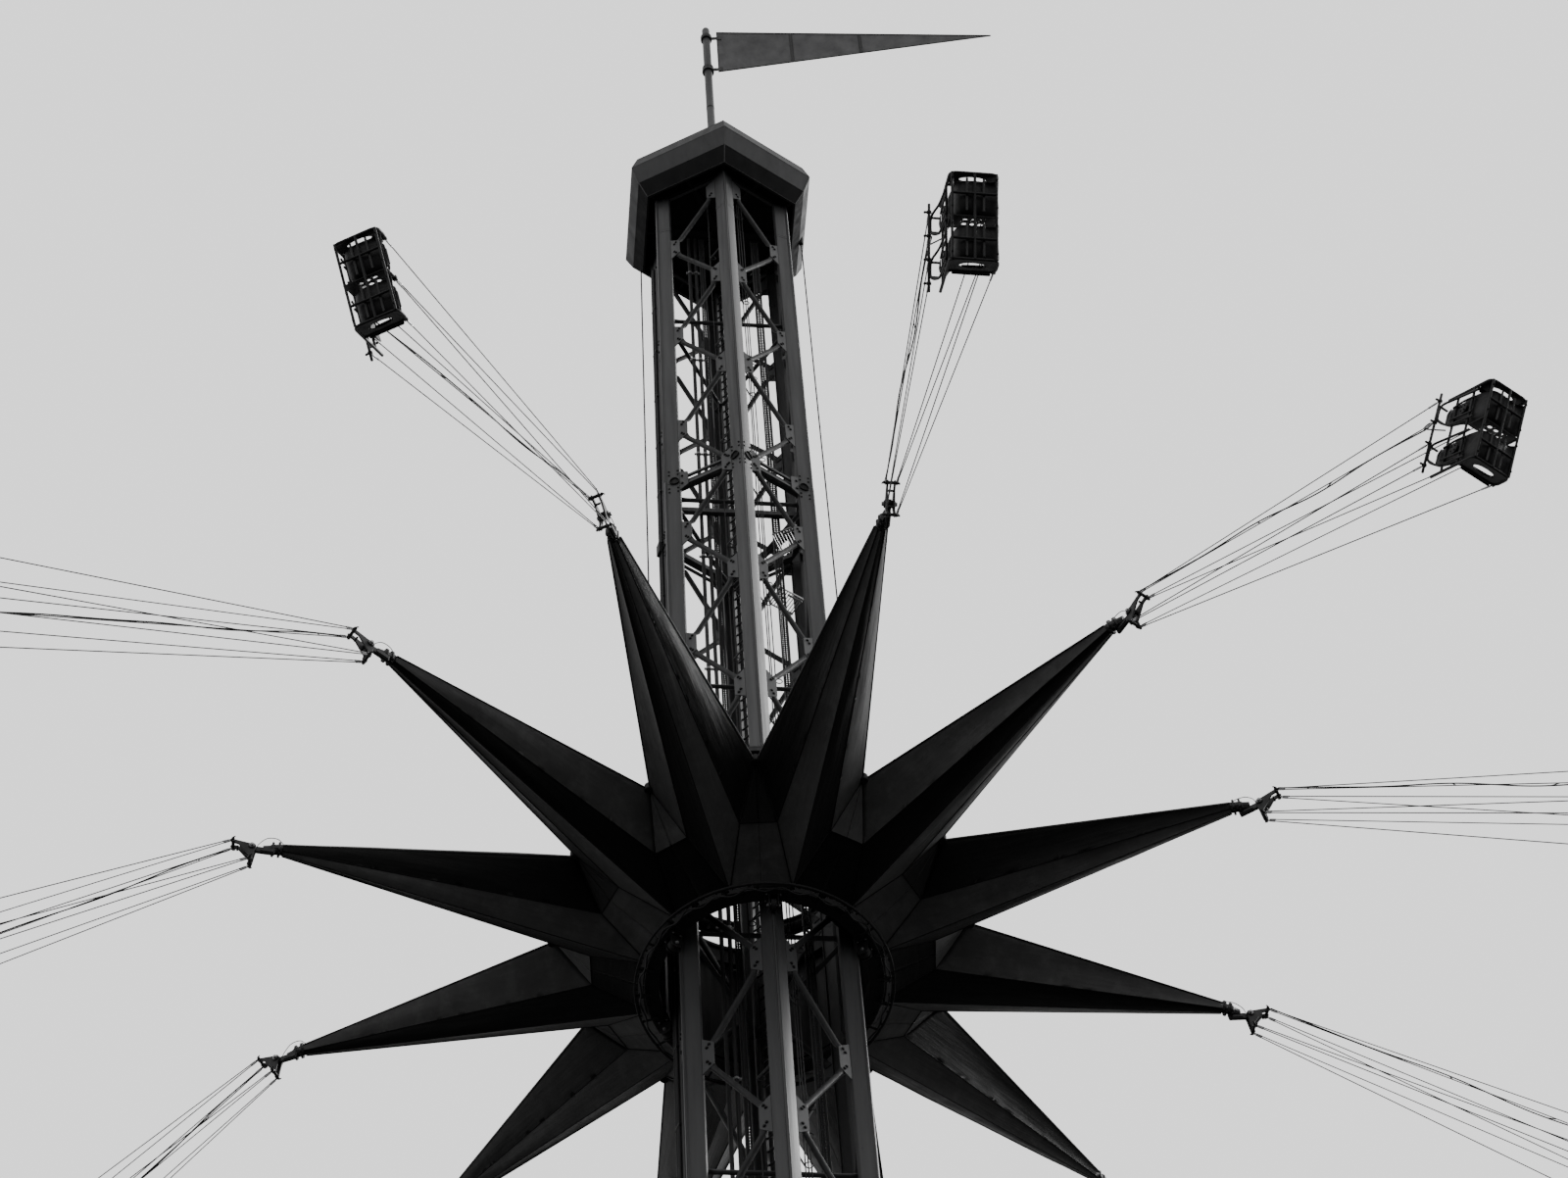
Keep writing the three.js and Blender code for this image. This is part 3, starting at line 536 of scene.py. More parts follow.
def paint(name, colour, roughness=0.45, metallic=0.0, dirt=0.55, grime=(7, 7, 0.35), shine=0.5):
    """Weathered paint: wide mottling, streaks that run down, small chips, and the peel of sprayed paint."""
    s = Surface(name, metallic, shine)
    streaks = s.noise(s.place, 2.2, 6.0, 0.6, grime)
    base = s.ramp(s.noise(s.place, 0.9, 5.0), (0.3, shade(colour, 0.86)), (0.7, shade(colour, 1.12)))
    stained = s.mixed(s.ramp(streaks, (0.34, 0.0), (0.6, 0.25), (0.78, 1.0)), base, shade(colour, dirt))
    worn = s.ramp(s.noise(s.place, 46.0, 3.0, 0.5), (0.71, 0.0), (0.73, 1.0))
    gloss = s.ramp(streaks, (0.3, roughness * 0.85), (0.75, min(1.0, roughness * 1.45)))
    peel = s.bump(s.noise(s.place, 420.0, 2.0), 0.0004, 0.35)
    return s.finished(s.mixed(worn, stained, shade(colour, 0.45)), gloss, s.bump(worn, -0.0006, 0.5, peel))


def bare_steel(name, colour, roughness=0.38):
    """Machined or galvanised steel: crystals in the zinc, fine scratches, and rust at the dirtiest places."""
    s = Surface(name, 1.0)
    crystals = node(s.tree, "ShaderNodeTexVoronoi", {"Vector": s.place, "Scale": 140.0}).outputs["Color"]
    grain = s.ramp(crystals, (0.0, shade(colour, 0.8)), (1.0, shade(colour, 1.15)))
    dull = s.ramp(s.noise(s.place, 9.0, 6.0), (0.52, 0.0), (0.74, 0.75))
    rough = s.ramp(s.noise(s.place, 30.0), (0.3, roughness * 0.7), (0.7, roughness * 1.5))
    scratches = s.noise(s.place, 60.0, 3.0, 0.6, (1, 1, 14))
    return s.finished(s.mixed(dull, grain, shade(colour, 0.32)), rough, s.bump(scratches, 0.0003, 0.4))


def wire_rope(name, colour, strands=6, lay=0.03, depth=0.0009):
    """Stranded rope: ridges that run along the rope and round it, the grooves between them darkened as grease
    and painted shade, and duller patches of grease.
    """
    s = Surface(name, 0.75)
    turns = node(s.tree, "ShaderNodeVectorMath", operation="DOT_PRODUCT")
    s.tree.links.new(s.flat, turns.inputs[0])
    turns.inputs[1].default_value = (pi / 10 / lay, pi / 10 * strands, 0)
    ridges = node(s.tree, "ShaderNodeTexWave", {"Vector": turns.outputs["Value"], "Scale": 1.0}).outputs["Fac"]
    # The grooves between the ridges are darkened to a quarter of the colour: partly grease, partly painted shade
    # between the strands.
    steel = s.ramp(ridges, (0.1, shade(colour, 0.25)), (0.6, shade(colour, 1.0)))
    grease = s.ramp(s.noise(s.place, 14.0), (0.45, 0.0), (0.7, 0.6))
    rough = s.ramp(grease, (0.0, 0.38), (1.0, 0.7))
    return s.finished(s.mixed(grease, steel, shade(colour, 0.3)), rough, s.bump(ridges, depth, 0.9))


def tent_cloth(name, colour, shine=0.12):
    """Coated tent fabric: a woven base that shows through the coating, dust in the weave, a soft sheen, and
    shallow creases along the pull of the cloth."""
    s = Surface(name, shine=shine)
    s.shader["Sheen Weight"].default_value = 0.1
    s.shader["Sheen Roughness"].default_value = 0.5
    warp, weft = (node(s.tree, "ShaderNodeTexWave", {"Vector": s.flat, "Scale": 130.0}, bands_direction=axis)
                  for axis in "XY")
    weave = s.mixed(0.5, warp.outputs["Color"], weft.outputs["Color"])
    dust = s.noise(s.place, 7.0, 6.0, 0.65)
    base = s.ramp(s.noise(s.place, 1.6, 5.0, 0.6), (0.3, shade(colour, 0.75)), (0.7, shade(colour, 1.25)))
    tinted = s.mixed(s.ramp(dust, (0.48, 0.0), (0.8, 0.55)), base, shade(colour, 1.9))
    threads = s.ramp(weave, (0.2, 0.82), (0.8, 1.0))
    creases = s.bump(s.noise(s.flat, 5.0, 5.0, 0.6, (0.35, 2.6, 1.0)), 0.012, 0.55)
    return s.finished(s.mixed(1.0, tinted, threads, "MULTIPLY"), s.ramp(dust, (0.3, 0.42), (0.75, 0.62)),
                      s.bump(weave, 0.0004, 0.5, creases))


def moulded_plastic(name, colour, roughness=0.5):
    """Moulded plastic: a fine grain from the tool, scuffs where riders slide, and dull patches."""
    s = Surface(name)
    grain = node(s.tree, "ShaderNodeTexVoronoi", {"Vector": s.place, "Scale": 700.0}).outputs["Distance"]
    scuffs = s.noise(s.place, 22.0, 6.0, 0.7, (1, 1, 3.5))
    worn = s.mixed(s.ramp(scuffs, (0.56, 0.0), (0.76, 0.8)), shade(colour, 1.0), shade(colour, 2.2))
    rough = s.ramp(scuffs, (0.4, roughness * 0.8), (0.8, roughness * 1.5))
    return s.finished(worn, rough, s.bump(grain, 0.0004, 0.5))


def rubber(name, colour):
    """Rubber and cable sheaths: nearly black, with bloom in patches and a slight grain."""
    s = Surface(name)
    bloom = s.noise(s.place, 12.0, 5.0)
    tinted = s.ramp(bloom, (0.4, shade(colour, 0.8)), (0.75, shade(colour, 2.0)))
    grain = s.bump(s.noise(s.place, 350.0, 2.0), 0.0004, 0.4)
    return s.finished(tinted, s.ramp(bloom, (0.3, 0.6), (0.8, 0.9)), grain)


def floor_surface(name, colour):
    """A pale studio floor with a faint mottling."""
    s = Surface(name)
    mottle = s.noise(s.place, 0.4, 5.0)
    s.tree.links.new(s.ramp(mottle, (0.3, shade(colour, 0.97)), (0.7, shade(colour, 1.03))), s.shader["Base Color"])
    s.shader["Roughness"].default_value = 0.85
    return s.material


FINISHES = {
    "tower": lambda c: paint("tower paint", c.tower, 0.42),
    "bracing": lambda c: paint("bracing paint", shade(c.tower, 1.3), 0.4, dirt=0.6, grime=(12, 12, 1.5)),
    # Tube paint is the tower paint at 0.55 times: painted shade that darkens all the bracing tubes.
    "tube": lambda c: paint("tube paint", shade(c.tower, 0.55), 0.45, dirt=0.6, grime=(12, 12, 1.5), shine=0.3),
    "pocket": lambda c: paint("pocket shadow", shade(c.tower, 0.12), 0.7),
    "cap": lambda c: paint("cap panel paint", c.cap, 0.6, dirt=0.72, grime=(5, 5, 0.6), shine=0.12),
    # Soffit paint is the cap paint at 0.24 times: painted shade on the panels under the cap.
    "soffit": lambda c: paint("soffit paint", shade(c.cap, 0.24), 0.7, dirt=0.7, grime=(5, 5, 0.6), shine=0.05),
    "cap_joint": lambda c: rubber("panel joint", (0.03, 0.03, 0.03)),
    "machine": lambda c: paint("machine paint", c.machine, 0.5, dirt=0.4),
    "steel": lambda c: bare_steel("bare steel", c.steel),
    "plate": lambda c: paint("galvanised plate", shade(c.steel, 0.7), 0.5, dirt=0.6, grime=(9, 9, 2)),
    # Bolt paint is near black, far darker than steel or the tower paint: painted shade on every bolt head.
    "bolt": lambda c: paint("bolt paint", shade(c.tower, 0.14), 0.5, 0.3, grime=(30, 30, 30)),
    "rail": lambda c: paint("guide rail paint", shade(c.tower, 1.3), 0.32, dirt=0.7, grime=(20, 20, 0.5)),
    "rope": lambda c: wire_rope("hoist rope", shade(c.steel, 0.15)),
    # The chair cable is steel at 0.08 times its colour: painted shade that keeps the cables dark.
    "cable": lambda c: wire_rope("chair cable", shade(c.steel, 0.08), 6, 0.02, 0.0005),
    "cloth": lambda c: tent_cloth("dark fabric", c.cloth, 0.2),
    "cloth_pale": lambda c: tent_cloth("pale fabric", c.cloth_pale),
    "piping": lambda c: tent_cloth("dark piping", shade(c.cloth, 0.8)),
    "piping_pale": lambda c: tent_cloth("pale piping", shade(c.cloth_pale, 2.2)),
    "seat": lambda c: moulded_plastic("seat shell", c.seat),
    "seat_frame": lambda c: paint("seat frame paint", shade(c.seat, 1.4), 0.45, dirt=0.5),
    # Pale plastic for the ribs under the pans, and for the headrest crescent, where its paleness is a painted
    # highlight.
    "seat_light": lambda c: moulded_plastic("seat trim", shade(c.cap, 0.38), 0.45),
    "vane": lambda c: paint("vane paint", c.vane, 0.45, dirt=0.7, grime=(4, 4, 2)),
    "rubber": lambda c: rubber("rubber", (0.022, 0.022, 0.023)),
    "concrete": lambda c: paint("base paint", shade(c.tower, 0.8), 0.6, dirt=0.5, grime=(4, 4, 1)),
    "floor": lambda c: floor_surface("pale floor", (0.62, 0.62, 0.62)),
}


def coats(names):
    """The materials of the finishes in a line of names, each made once."""
    colours = bpy.context.scene.ride_colours
    found = []
    for name in names.split():
        label = "ride_" + name
        if label not in bpy.data.materials:
            material = FINISHES[name](colours)
            material.name = label
        found.append(bpy.data.materials[label])
    return found


def finish_solid(name, finish):
    """Gives a CAD node that stays in sight the surface of a finish."""
    slots = NODES[name].data.materials
    slots.clear()
    slots.append(coats(finish)[0])


# Tower

def column_outline():
    """Section of a column as (outwards, sideways): two flanks 12 mm thick that meet at a right angle in the
    corner, each with a lip that turns inwards at its far edge, square to the tower's face."""
    flank_end, lip_end = (-0.0856, 0.0856), (-0.1154, 0.0684)
    lip_back, fold_back, apex = (-0.1119, 0.0624), (-0.0912, 0.0742), (-0.017, 0.0)
    half = np.array([(-0.012, 0.012), flank_end, lip_end, lip_back, fold_back])
    loop = np.concatenate([half, [apex], half[::-1] * (1, -1)])
    return rounded(loop, [0.004, 0.009, 0.003, 0.003, 0.003, 0.01, 0.003, 0.003, 0.003, 0.009, 0.004], 4)


def guide_rail_outline():
    """Section of the rail on a column's corner: a flat running face between two grooves and two edge strips."""
    half = [(-0.0125, 0.012), (0.0072, 0.012), (0.008, 0.0112), (0.008, 0.0098), (-0.004, 0.0094),
            (-0.004, 0.0066), (0.0098, 0.0062), (0.01, 0.0056)]
    half = np.array(half)
    return np.concatenate([half, half[::-1] * (1, -1)])[::-1]


def raised_section(outline, levels, offsets, coat=0):
    """A section (k, 2) of outwards and sideways at each level, pushed out from its own line by an offset."""
    return loft(raised((inset(outline, -offset), level) for level, offset in zip(levels, offsets)), coat)


def flank_axes(side):
    """Axes of a flank in its column's frame: across the flank, up, and out of its face."""
    across = np.array([-1, side, 0]) * cos(pi / 4)
    out = np.array([1, side, 0]) * cos(pi / 4)
    return np.array([across, [0, 0, 1.0], out])


def splice_pocket(side, level):
    """The oval pocket on a flank at a splice: a raised rim round a thin flat floor, both in the near-black pocket
    coat, a painted shadow that stands for the hole.
    """
    t = np.arange(28) * 2 * pi / 28
    drop = 1 - 0.22 * np.sin(t)
    outer = np.column_stack([0.042 * np.cos(t) * drop, 0.052 * np.sin(t)])
    rim = ring_plate(outer, outer * 0.9, 0.012, coat=1)
    floor = plate(outer * 0.92, 0.0016, 0.0003, coat=1)
    axes = flank_axes(side)
    place = np.array([0, 0, level]) + axes[0] * 0.078 + axes[2] * 0.0004
    return join(rim, floor).placed(place, axes)


def splice_hardware(level):
    """A splice in a column's frame: bolts in rows above and below the joint on both flanks."""
    parts = []
    for side in (-1, 1):
        axes = flank_axes(side)
        rows = np.array([(x, z) for x in (0.032, 0.108) for z in (-0.17, -0.11, 0.11, 0.17)])
        centres = rows[:, :1] * axes[0] + rows[:, 1:] * axes[1]
        parts += [bolts(centres, axes[2], 0.008, coat=2), splice_pocket(side, 0.0)]
    return join(*parts).placed((0, 0, level))


def tower_column(heading):
    """A column: its section carried up, with a band pushed out 1.5 mm at each seam, and the guide rail."""
    seams = SPLICE_LEVEL + SEAM_PITCH * np.arange(-5, 1)
    near = np.array([-0.034, -0.0335, -0.0015, -0.001, 0.001, 0.0015, 0.0335, 0.034])
    levels = (np.append(seams, 33.45)[:, None] + near).ravel()
    offsets = [0.0, 0.0016, 0.0016, -0.003, -0.003, 0.0016, 0.0016, 0.0] * (len(seams) + 1)
    parts = [raised_section(column_outline(), [COLUMN_FOOT, *levels, COLUMN_TOP], [0.0, *offsets, 0.0])]
    rail = guide_rail_outline()
    ends = [COLUMN_FOOT, *seams, COLUMN_TOP]
    for first, last in zip(ends[:-1], ends[1:]):
        span = [first + 0.001, first + 0.003, last - 0.003, last - 0.001]
        parts.append(raised_section(rail, span, [-0.0008, 0, 0, -0.0008], coat=3))
    parts += [splice_hardware(SPLICE_LEVEL + step * HALF_PITCH) for step in SPLICE_STEPS]
    return join(*parts).placed(spoke(heading)[0] * CORNER_RADIUS, spoke(heading))


def gusset_outline(width=0.092, tall=0.19, short=0.112):
    """A gusset plate: a trapezoid on the column's edge with rounded outer corners."""
    loop = [(0.0, -tall), (width, -short), (width, short), (0.0, tall)]
    return rounded(loop, [0.004, 0.02, 0.02, 0.004], 4)


TUBE_RADIUS = 0.0225
GUSSET_PLATE = 0.008
TUBE_DEPTH = -GUSSET_PLATE - TUBE_RADIUS + 0.003
FLAT = TUBE_RADIUS - 0.005
TUBE_STATIONS = ((0, 0.0, 1.45, 0.26, FLAT), (0, 0.066, 1.45, 0.26, FLAT), (0, 0.1, 1.1, 0.8, FLAT * 0.3),
                 (0, 0.12, 1, 1, 0), (1, -0.12, 1, 1, 0), (1, -0.1, 1.1, 0.8, FLAT * 0.3),
                 (1, -0.066, 1.45, 0.26, FLAT), (1, 0.0, 1.45, 0.26, FLAT))


def bracing_face(face):
    """Bracing of one face, drawn in its plane (X sideways, Y up, Z out): gussets at the steps, a zigzag of
    round tubes with flattened ends between them, and level bars at the splices and under the cap."""
    half = BAY_SPAN / 2
    side = np.where((STEPS + face) % 2 == 0, -1.0, 1.0)
    levels = SPLICE_LEVEL + STEPS * HALF_PITCH
    gusset = plate(gusset_outline(), GUSSET_PLATE).placed((0, 0, -GUSSET_PLATE))
    inward = np.array([[[-s, 0, 0], [0, 1, 0], [0, 0, 1.0]] for s in side])
    at = spots(side * half, levels, 0)
    gussets = [gusset.copies(at[side < 0], inward[side < 0]), gusset.copies(at[side > 0], inward[side > 0])]
    splice = np.isin(STEPS, SPLICE_STEPS)
    lone = plate(gusset_outline(0.078, 0.15, 0.1), GUSSET_PLATE).placed((0, 0, -GUSSET_PLATE))
    for i in np.flatnonzero(splice):
        far = np.array([[side[i], 0, 0], [0, 1, 0], [0, 0, 1.0]])
        gussets.append(lone.placed((-side[i] * half, levels[i], 0), far))
    x = side * (half - 0.032)
    starts = spots(x[:-1], levels[:-1] + 0.062, TUBE_DEPTH)
    ends = spots(x[1:], levels[1:] - 0.062, TUBE_DEPTH)
    along = unit(ends - starts)
    tubes = rods(starts, ends, TUBE_RADIUS, 10, stations=TUBE_STATIONS, coat=2)
    rows = [starts + along * 0.014, starts + along * 0.048, ends - along * 0.014, ends - along * 0.048]
    heads = np.concatenate(rows) * (1, 1, 0)
    bars, bar_ends = [], []
    for level in levels[splice]:
        bars += [(0, level - 0.06, -0.019), (0, level + 0.06, -0.019)]
        bar_ends += [(s * (half - 0.024), level + dz, 0) for s in (-1, 1) for dz in (-0.06, 0.06)]
    rails = blocks(bars, (BAY_SPAN - 0.002, 0.03, 0.022))
    eaves = rods([[-half, 34.09, -0.02]], [[half, 34.09, -0.02]], 0.013, 10)
    hardware = bolts(np.concatenate([heads, bar_ends]), [0, 0, 1], 0.0105)
    parts = gussets + [tubes, rails, eaves, hardware]
    a = radians(60 * face + 30)
    axes = np.array([[cos(a), sin(a), 0], [0, 0, 1.0], [sin(a), -cos(a), 0]])
    return join(*parts).placed(axes[2] * APOTHEM, axes)


def cross_tubes():
    """Level tubes inside the tower between alternate columns, with a flattened lug and a bolt at each end."""
    corners = np.array([spoke(h)[0][:2] for h in (60, 180, 300)]) * 0.655
    ends = np.array([(corners[0], (-0.045, 0.6)), ((0.045, 0.625), corners[2]), (corners[2], corners[0])])
    starts, stops = (np.concatenate([spots(*ends[:, i].T, level) for level in TRIANGLE_LEVELS]) for i in (0, 1))
    flat_ends = ((0, 0, 1.4, 0.3, 0), (0, 0.07, 1.4, 0.3, 0), (0, 0.12, 1, 1, 0), (1, -0.12, 1, 1, 0),
                 (1, -0.07, 1.4, 0.3, 0), (1, 0, 1.4, 0.3, 0))
    tubes = rods(starts, stops, 0.019, 10, stations=flat_ends)
    along = unit(stops - starts)
    centres = np.concatenate([starts + along * 0.03, stops - along * 0.03]) - (0, 0, 0.006)
    return join(tubes, bolts(centres, [0, 0, -1], 0.008))


def ring_hardware():
    """Cleats and bolts that hold the inner rings to the columns."""
    parts = []
    for level in SPLICE_LEVEL + SPLICE_STEPS * HALF_PITCH:
        parts += [blocks(spots(0.578, 0.045 * BOTH, level + 0.036), (0.05, 0.05, 0.01)),
                  bolts(spots(0.572, 0.045 * BOTH, level + 0.041), [0, 0, 1], 0.009)]
    return join(*parts).turned(CORNER_HEADINGS)


SERVICE_FOOT, SERVICE_TOP = 0.4, 33.9
SERVICE_MIDDLE, SERVICE_HEIGHT = (SERVICE_FOOT + SERVICE_TOP) / 2, SERVICE_TOP - SERVICE_FOOT
LADDER_CENTRE = (0.085, 0.44)
LADDER_TURN = radians(-47)


def ladder():
    """The ladder in its own frame (X along the rungs): two flat stringers with lips, a rung every 140 mm, and
    bolted splice plates."""
    middle, tall = SERVICE_MIDDLE, SERVICE_HEIGHT
    stringers = blocks(spots(0.105 * BOTH, 0, middle), (0.01, 0.034, tall), 0.002)
    lips = blocks(spots(0.112 * BOTH, -0.0145, middle), (0.016, 0.005, tall), 0.001)
    levels = np.arange(SERVICE_FOOT + 0.1, SERVICE_TOP - 0.05, 0.14)
    rungs = rods(spots(-0.104, 0, levels), spots(0.104, 0, levels), 0.0085, 6)
    seams = np.arange(SERVICE_FOOT + 2.55, SERVICE_TOP, 2.55)
    plates = [(s * 0.117, 0.003, z) for z in seams for s in (-1, 1)]
    splices = blocks(plates, (0.006, 0.026, 0.12), 0.001)
    heads = [(s * 0.12, 0.003, z + dz) for z in seams for s in (-1, 1) for dz in (-0.04, -0.015, 0.015, 0.04)]
    sides = [(s, 0, 0) for z in seams for s in (-1, 1) for _ in range(4)]
    hardware = bolts(heads, sides, 0.0055)
    return join(stringers, lips, rungs, splices, hardware).placed((*LADDER_CENTRE, 0), yawed(LADDER_TURN))


def service_pipe(x):
    """A vertical pipe with a sleeve at each joint and a two-part clip every 1.7 m."""
    low, high = SERVICE_FOOT, SERVICE_TOP
    pipe = spin([(0.014, low), (0.016, low + 0.002), (0.016, high - 0.002), (0.014, high)], 16)
    joints = np.arange(low + 3.0, high, 5.1)
    sleeve = spin([(0.0162, -0.04), (0.0195, -0.038), (0.0195, 0.038), (0.0162, 0.04)], 16)
    sleeves = sleeve.copies(spots(0, 0, joints))
    clips = np.arange(low + 0.5, high, 1.7)
    clip = band(0.0158, 0.0205, -0.012, 0.012, 16, 1)
    ears = blocks([[0.027, 0, 0], [-0.027, 0, 0]], (0.016, 0.012, 0.022), 0.001, coat=1)
    heads = bolts([[0.027, 0.006, 0], [-0.027, 0.006, 0]], [0, 1, 0], 0.005)
    clips = join(clip, ears, heads).copies(spots(0, 0, clips))
    return join(pipe, sleeves, clips).placed((x, -0.06, 0))


def cable_tray(x, width):
    """A perforated tray: side walls, a floor of three strips with a bridge every 30 mm, so that its small
    slots are open, and the cables that lie in it on a shallow wave."""
    y, half = -0.066, width / 2
    middle, tall = SERVICE_MIDDLE, SERVICE_HEIGHT
    walls = blocks([[s * (half - 0.001), y, middle] for s in (-1, 1)], (0.002, 0.02, tall), 0.0004)
    strips = [[dx, y + 0.009, middle] for dx in (-half + 0.008, 0, half - 0.008)]
    strips = blocks(strips, (0.014, 0.002, tall), 0.0004)
    at = spots(0, y + 0.009, np.arange(SERVICE_FOOT + 0.012, SERVICE_TOP, 0.03))
    bridges = blocks(at, (width - 0.018, 0.0016, 0.016), 0.0003)
    parts = [walls, strips, bridges]
    t = np.linspace(SERVICE_FOOT, SERVICE_TOP, 120)
    for i, offset in enumerate((-0.3, 0.05, 0.34)):
        sway = offset * width * 0.8 + 0.0025 * np.sin(t * (1.9 + 0.4 * i) + i)
        path = spots(sway, y + 0.002, t)
        parts.append(tube(path, 0.0045 + 0.001 * (i == 1), 6, (1, 0, 0), coat=1))
    return join(*parts).placed((x, 0, 0))


def service_cables():
    """Cables behind the edge of the front column, each a long wave of a few millimetres, held every 1.7 m by
    an arm from the column and a short loop of the cable that hangs under it."""
    parts = []
    t = np.linspace(0.6, 33.8, 180)
    loop = np.arange(17) * 2 * pi / 16 - pi / 2
    for i, (x, y) in enumerate([(0.128, -0.505), (0.148, -0.498), (0.17, -0.49), (-0.15, -0.48)]):
        wave = 0.003 * np.sin(t * (1.3 + 0.3 * i) + i)
        parts.append(tube(spots(x + wave, y + wave * 0.5, t), 0.005, 6, (1, 0, 0)))
        levels = np.arange(1.2 + 0.3 * i, 33.6, 1.7)
        ring = spots(0.026 * np.cos(loop) + 0.026, -0.008, 0.03 * np.sin(loop))
        coil = tube(ring, 0.0042, 6, (0, 1, 0))
        arm = rods([[0, 0, 0]], [[np.sign(x) * 0.066 - x, -0.601 - y, 0.012]], 0.0065, 6, coat=1)
        parts.append(join(coil, arm).copies(spots(x, y, levels)))
    return join(*parts)


def cable_bundle():
    """The bundle of cables on the back left column: four tubes side by side up the flank, each on its own long
    wave, under a clip every 0.85 m and a junction box at each splice."""
    axes = flank_axes(1)
    t = np.linspace(0.3, 33.9, 240)
    parts = []
    for i, across in enumerate((0.03, 0.047, 0.064, 0.081)):
        wave = 0.0022 * np.sin(t * (1.7 + 0.35 * i) + 2 * i)
        path = (across + wave)[:, None] * axes[0] + t[:, None] * axes[1] + 0.012 * axes[2]
        parts.append(tube(path, 0.0085, 7, (1, 0, 0)))
    levels = np.arange(0.8, 33.8, 0.85)
    at = 0.056 * axes[0] + 0.012 * axes[2] + levels[:, None] * axes[1]
    parts.append(blocks(at, (0.082, 0.03, 0.022), axes=axes, coat=1))
    boxes = (SPLICE_LEVEL + SPLICE_STEPS * HALF_PITCH)[:, None] * axes[1] + 0.056 * axes[0] + 0.022 * axes[2]
    parts.append(blocks(boxes, (0.07, 0.16, 0.04), 0.004, axes, coat=1))
    return join(*parts).placed(spoke(-120)[0] * CORNER_RADIUS, spoke(-120))


def landing_gratings():
    """Small gratings at the right inside the tower: an angle frame and bars 25 mm apart, on two brackets."""
    parts = []
    for level, turn in ((28.2, 62), (27.9, 118), (18.0, 62), (17.7, 118), (7.8, 62), (7.5, 118)):
        edge = [*spots(0, 0.09 * BOTH, 0), *spots(0.11 * BOTH, 0, 0)]
        sizes = [(0.22, 0.006, 0.022)] * 2 + [(0.006, 0.18, 0.022)] * 2
        bars = blocks([(x, 0, 0) for x in np.linspace(-0.09, 0.09, 8)], (0.003, 0.178, 0.018), 0.0008)
        legs = blocks(spots(0.04, 0.07 * BOTH, -0.02), (0.14, 0.012, 0.02), 0.002)
        grating = join(blocks(edge, sizes, 0.001), bars, legs)
        axes = spoke(turn)
        parts.append(grating.placed(axes[0] * 0.46 + (0, 0, level), axes))
    return join(*parts)


def base_details():
    """A foot plate with four anchor bolts and two ribs round every column."""
    top = 0.1502
    foot = plate(rounded([(-0.15, -0.15), (0.06, -0.15), (0.06, 0.15), (-0.15, 0.15)], 0.015), 0.022, 0.002)
    corners = [(0.038, -0.125), (0.038, 0.125), (-0.128, -0.13), (-0.128, 0.13)]
    anchors = bolts([(x, y, 0.022) for x, y in corners], [0, 0, 1], 0.017)
    studs = spin([(0.009, 0.02), (0.009, 0.06), (0.007, 0.063)], 10, coat=1)
    studs = studs.copies([(x, y, 0) for x, y in corners])
    ribs = []
    for side in (-1, 1):
        axes = flank_axes(side)
        rib = plate([(0.0, 0.0), (0.07, 0.0), (0.07, 0.02), (0.015, 0.14), (0.0, 0.14)], 0.01)
        rib_axes = np.array([axes[2], [0, 0, 1.0], np.cross(axes[2], [0, 0, 1.0])])
        ribs.append(rib.placed(axes[0] * 0.075 + axes[2] * 0.0005 + (0, 0, 0.022), rib_axes))
    one = join(foot, anchors, studs, *ribs).placed((CORNER_RADIUS, 0, top))
    return one.turned(CORNER_HEADINGS)


# Cap, mast and vane

CAP_EDGES = [(0.823, 34.07), (0.919, 34.26), (0.997, 34.498), (0.931, 34.751)]
CAP_START = -pi / 2
ROPE_HEADINGS = (98, -119)
ROPE_CIRCLE = 0.83
ROPE_TOP = 34.36
CARRIAGE_TOP = 24.15
VANE_HEADING = 82.9


def flat_panel(corners, gap=0.002, thickness=0.004, chamfer=0.001, coat=0):
    """A plate on four corners (4, 3) that lie in a plane, drawn in a little from its edges."""
    corners = np.asarray(corners, float)
    x = unit(corners[1] - corners[0])
    z = unit(np.cross(x, corners[3] - corners[0]))
    axes = np.array([x, np.cross(z, x), z])
    flat = (corners - corners[0]) @ axes.T
    return plate(inset(flat[:, :2], gap), thickness, chamfer, coat).placed(corners[0], axes)


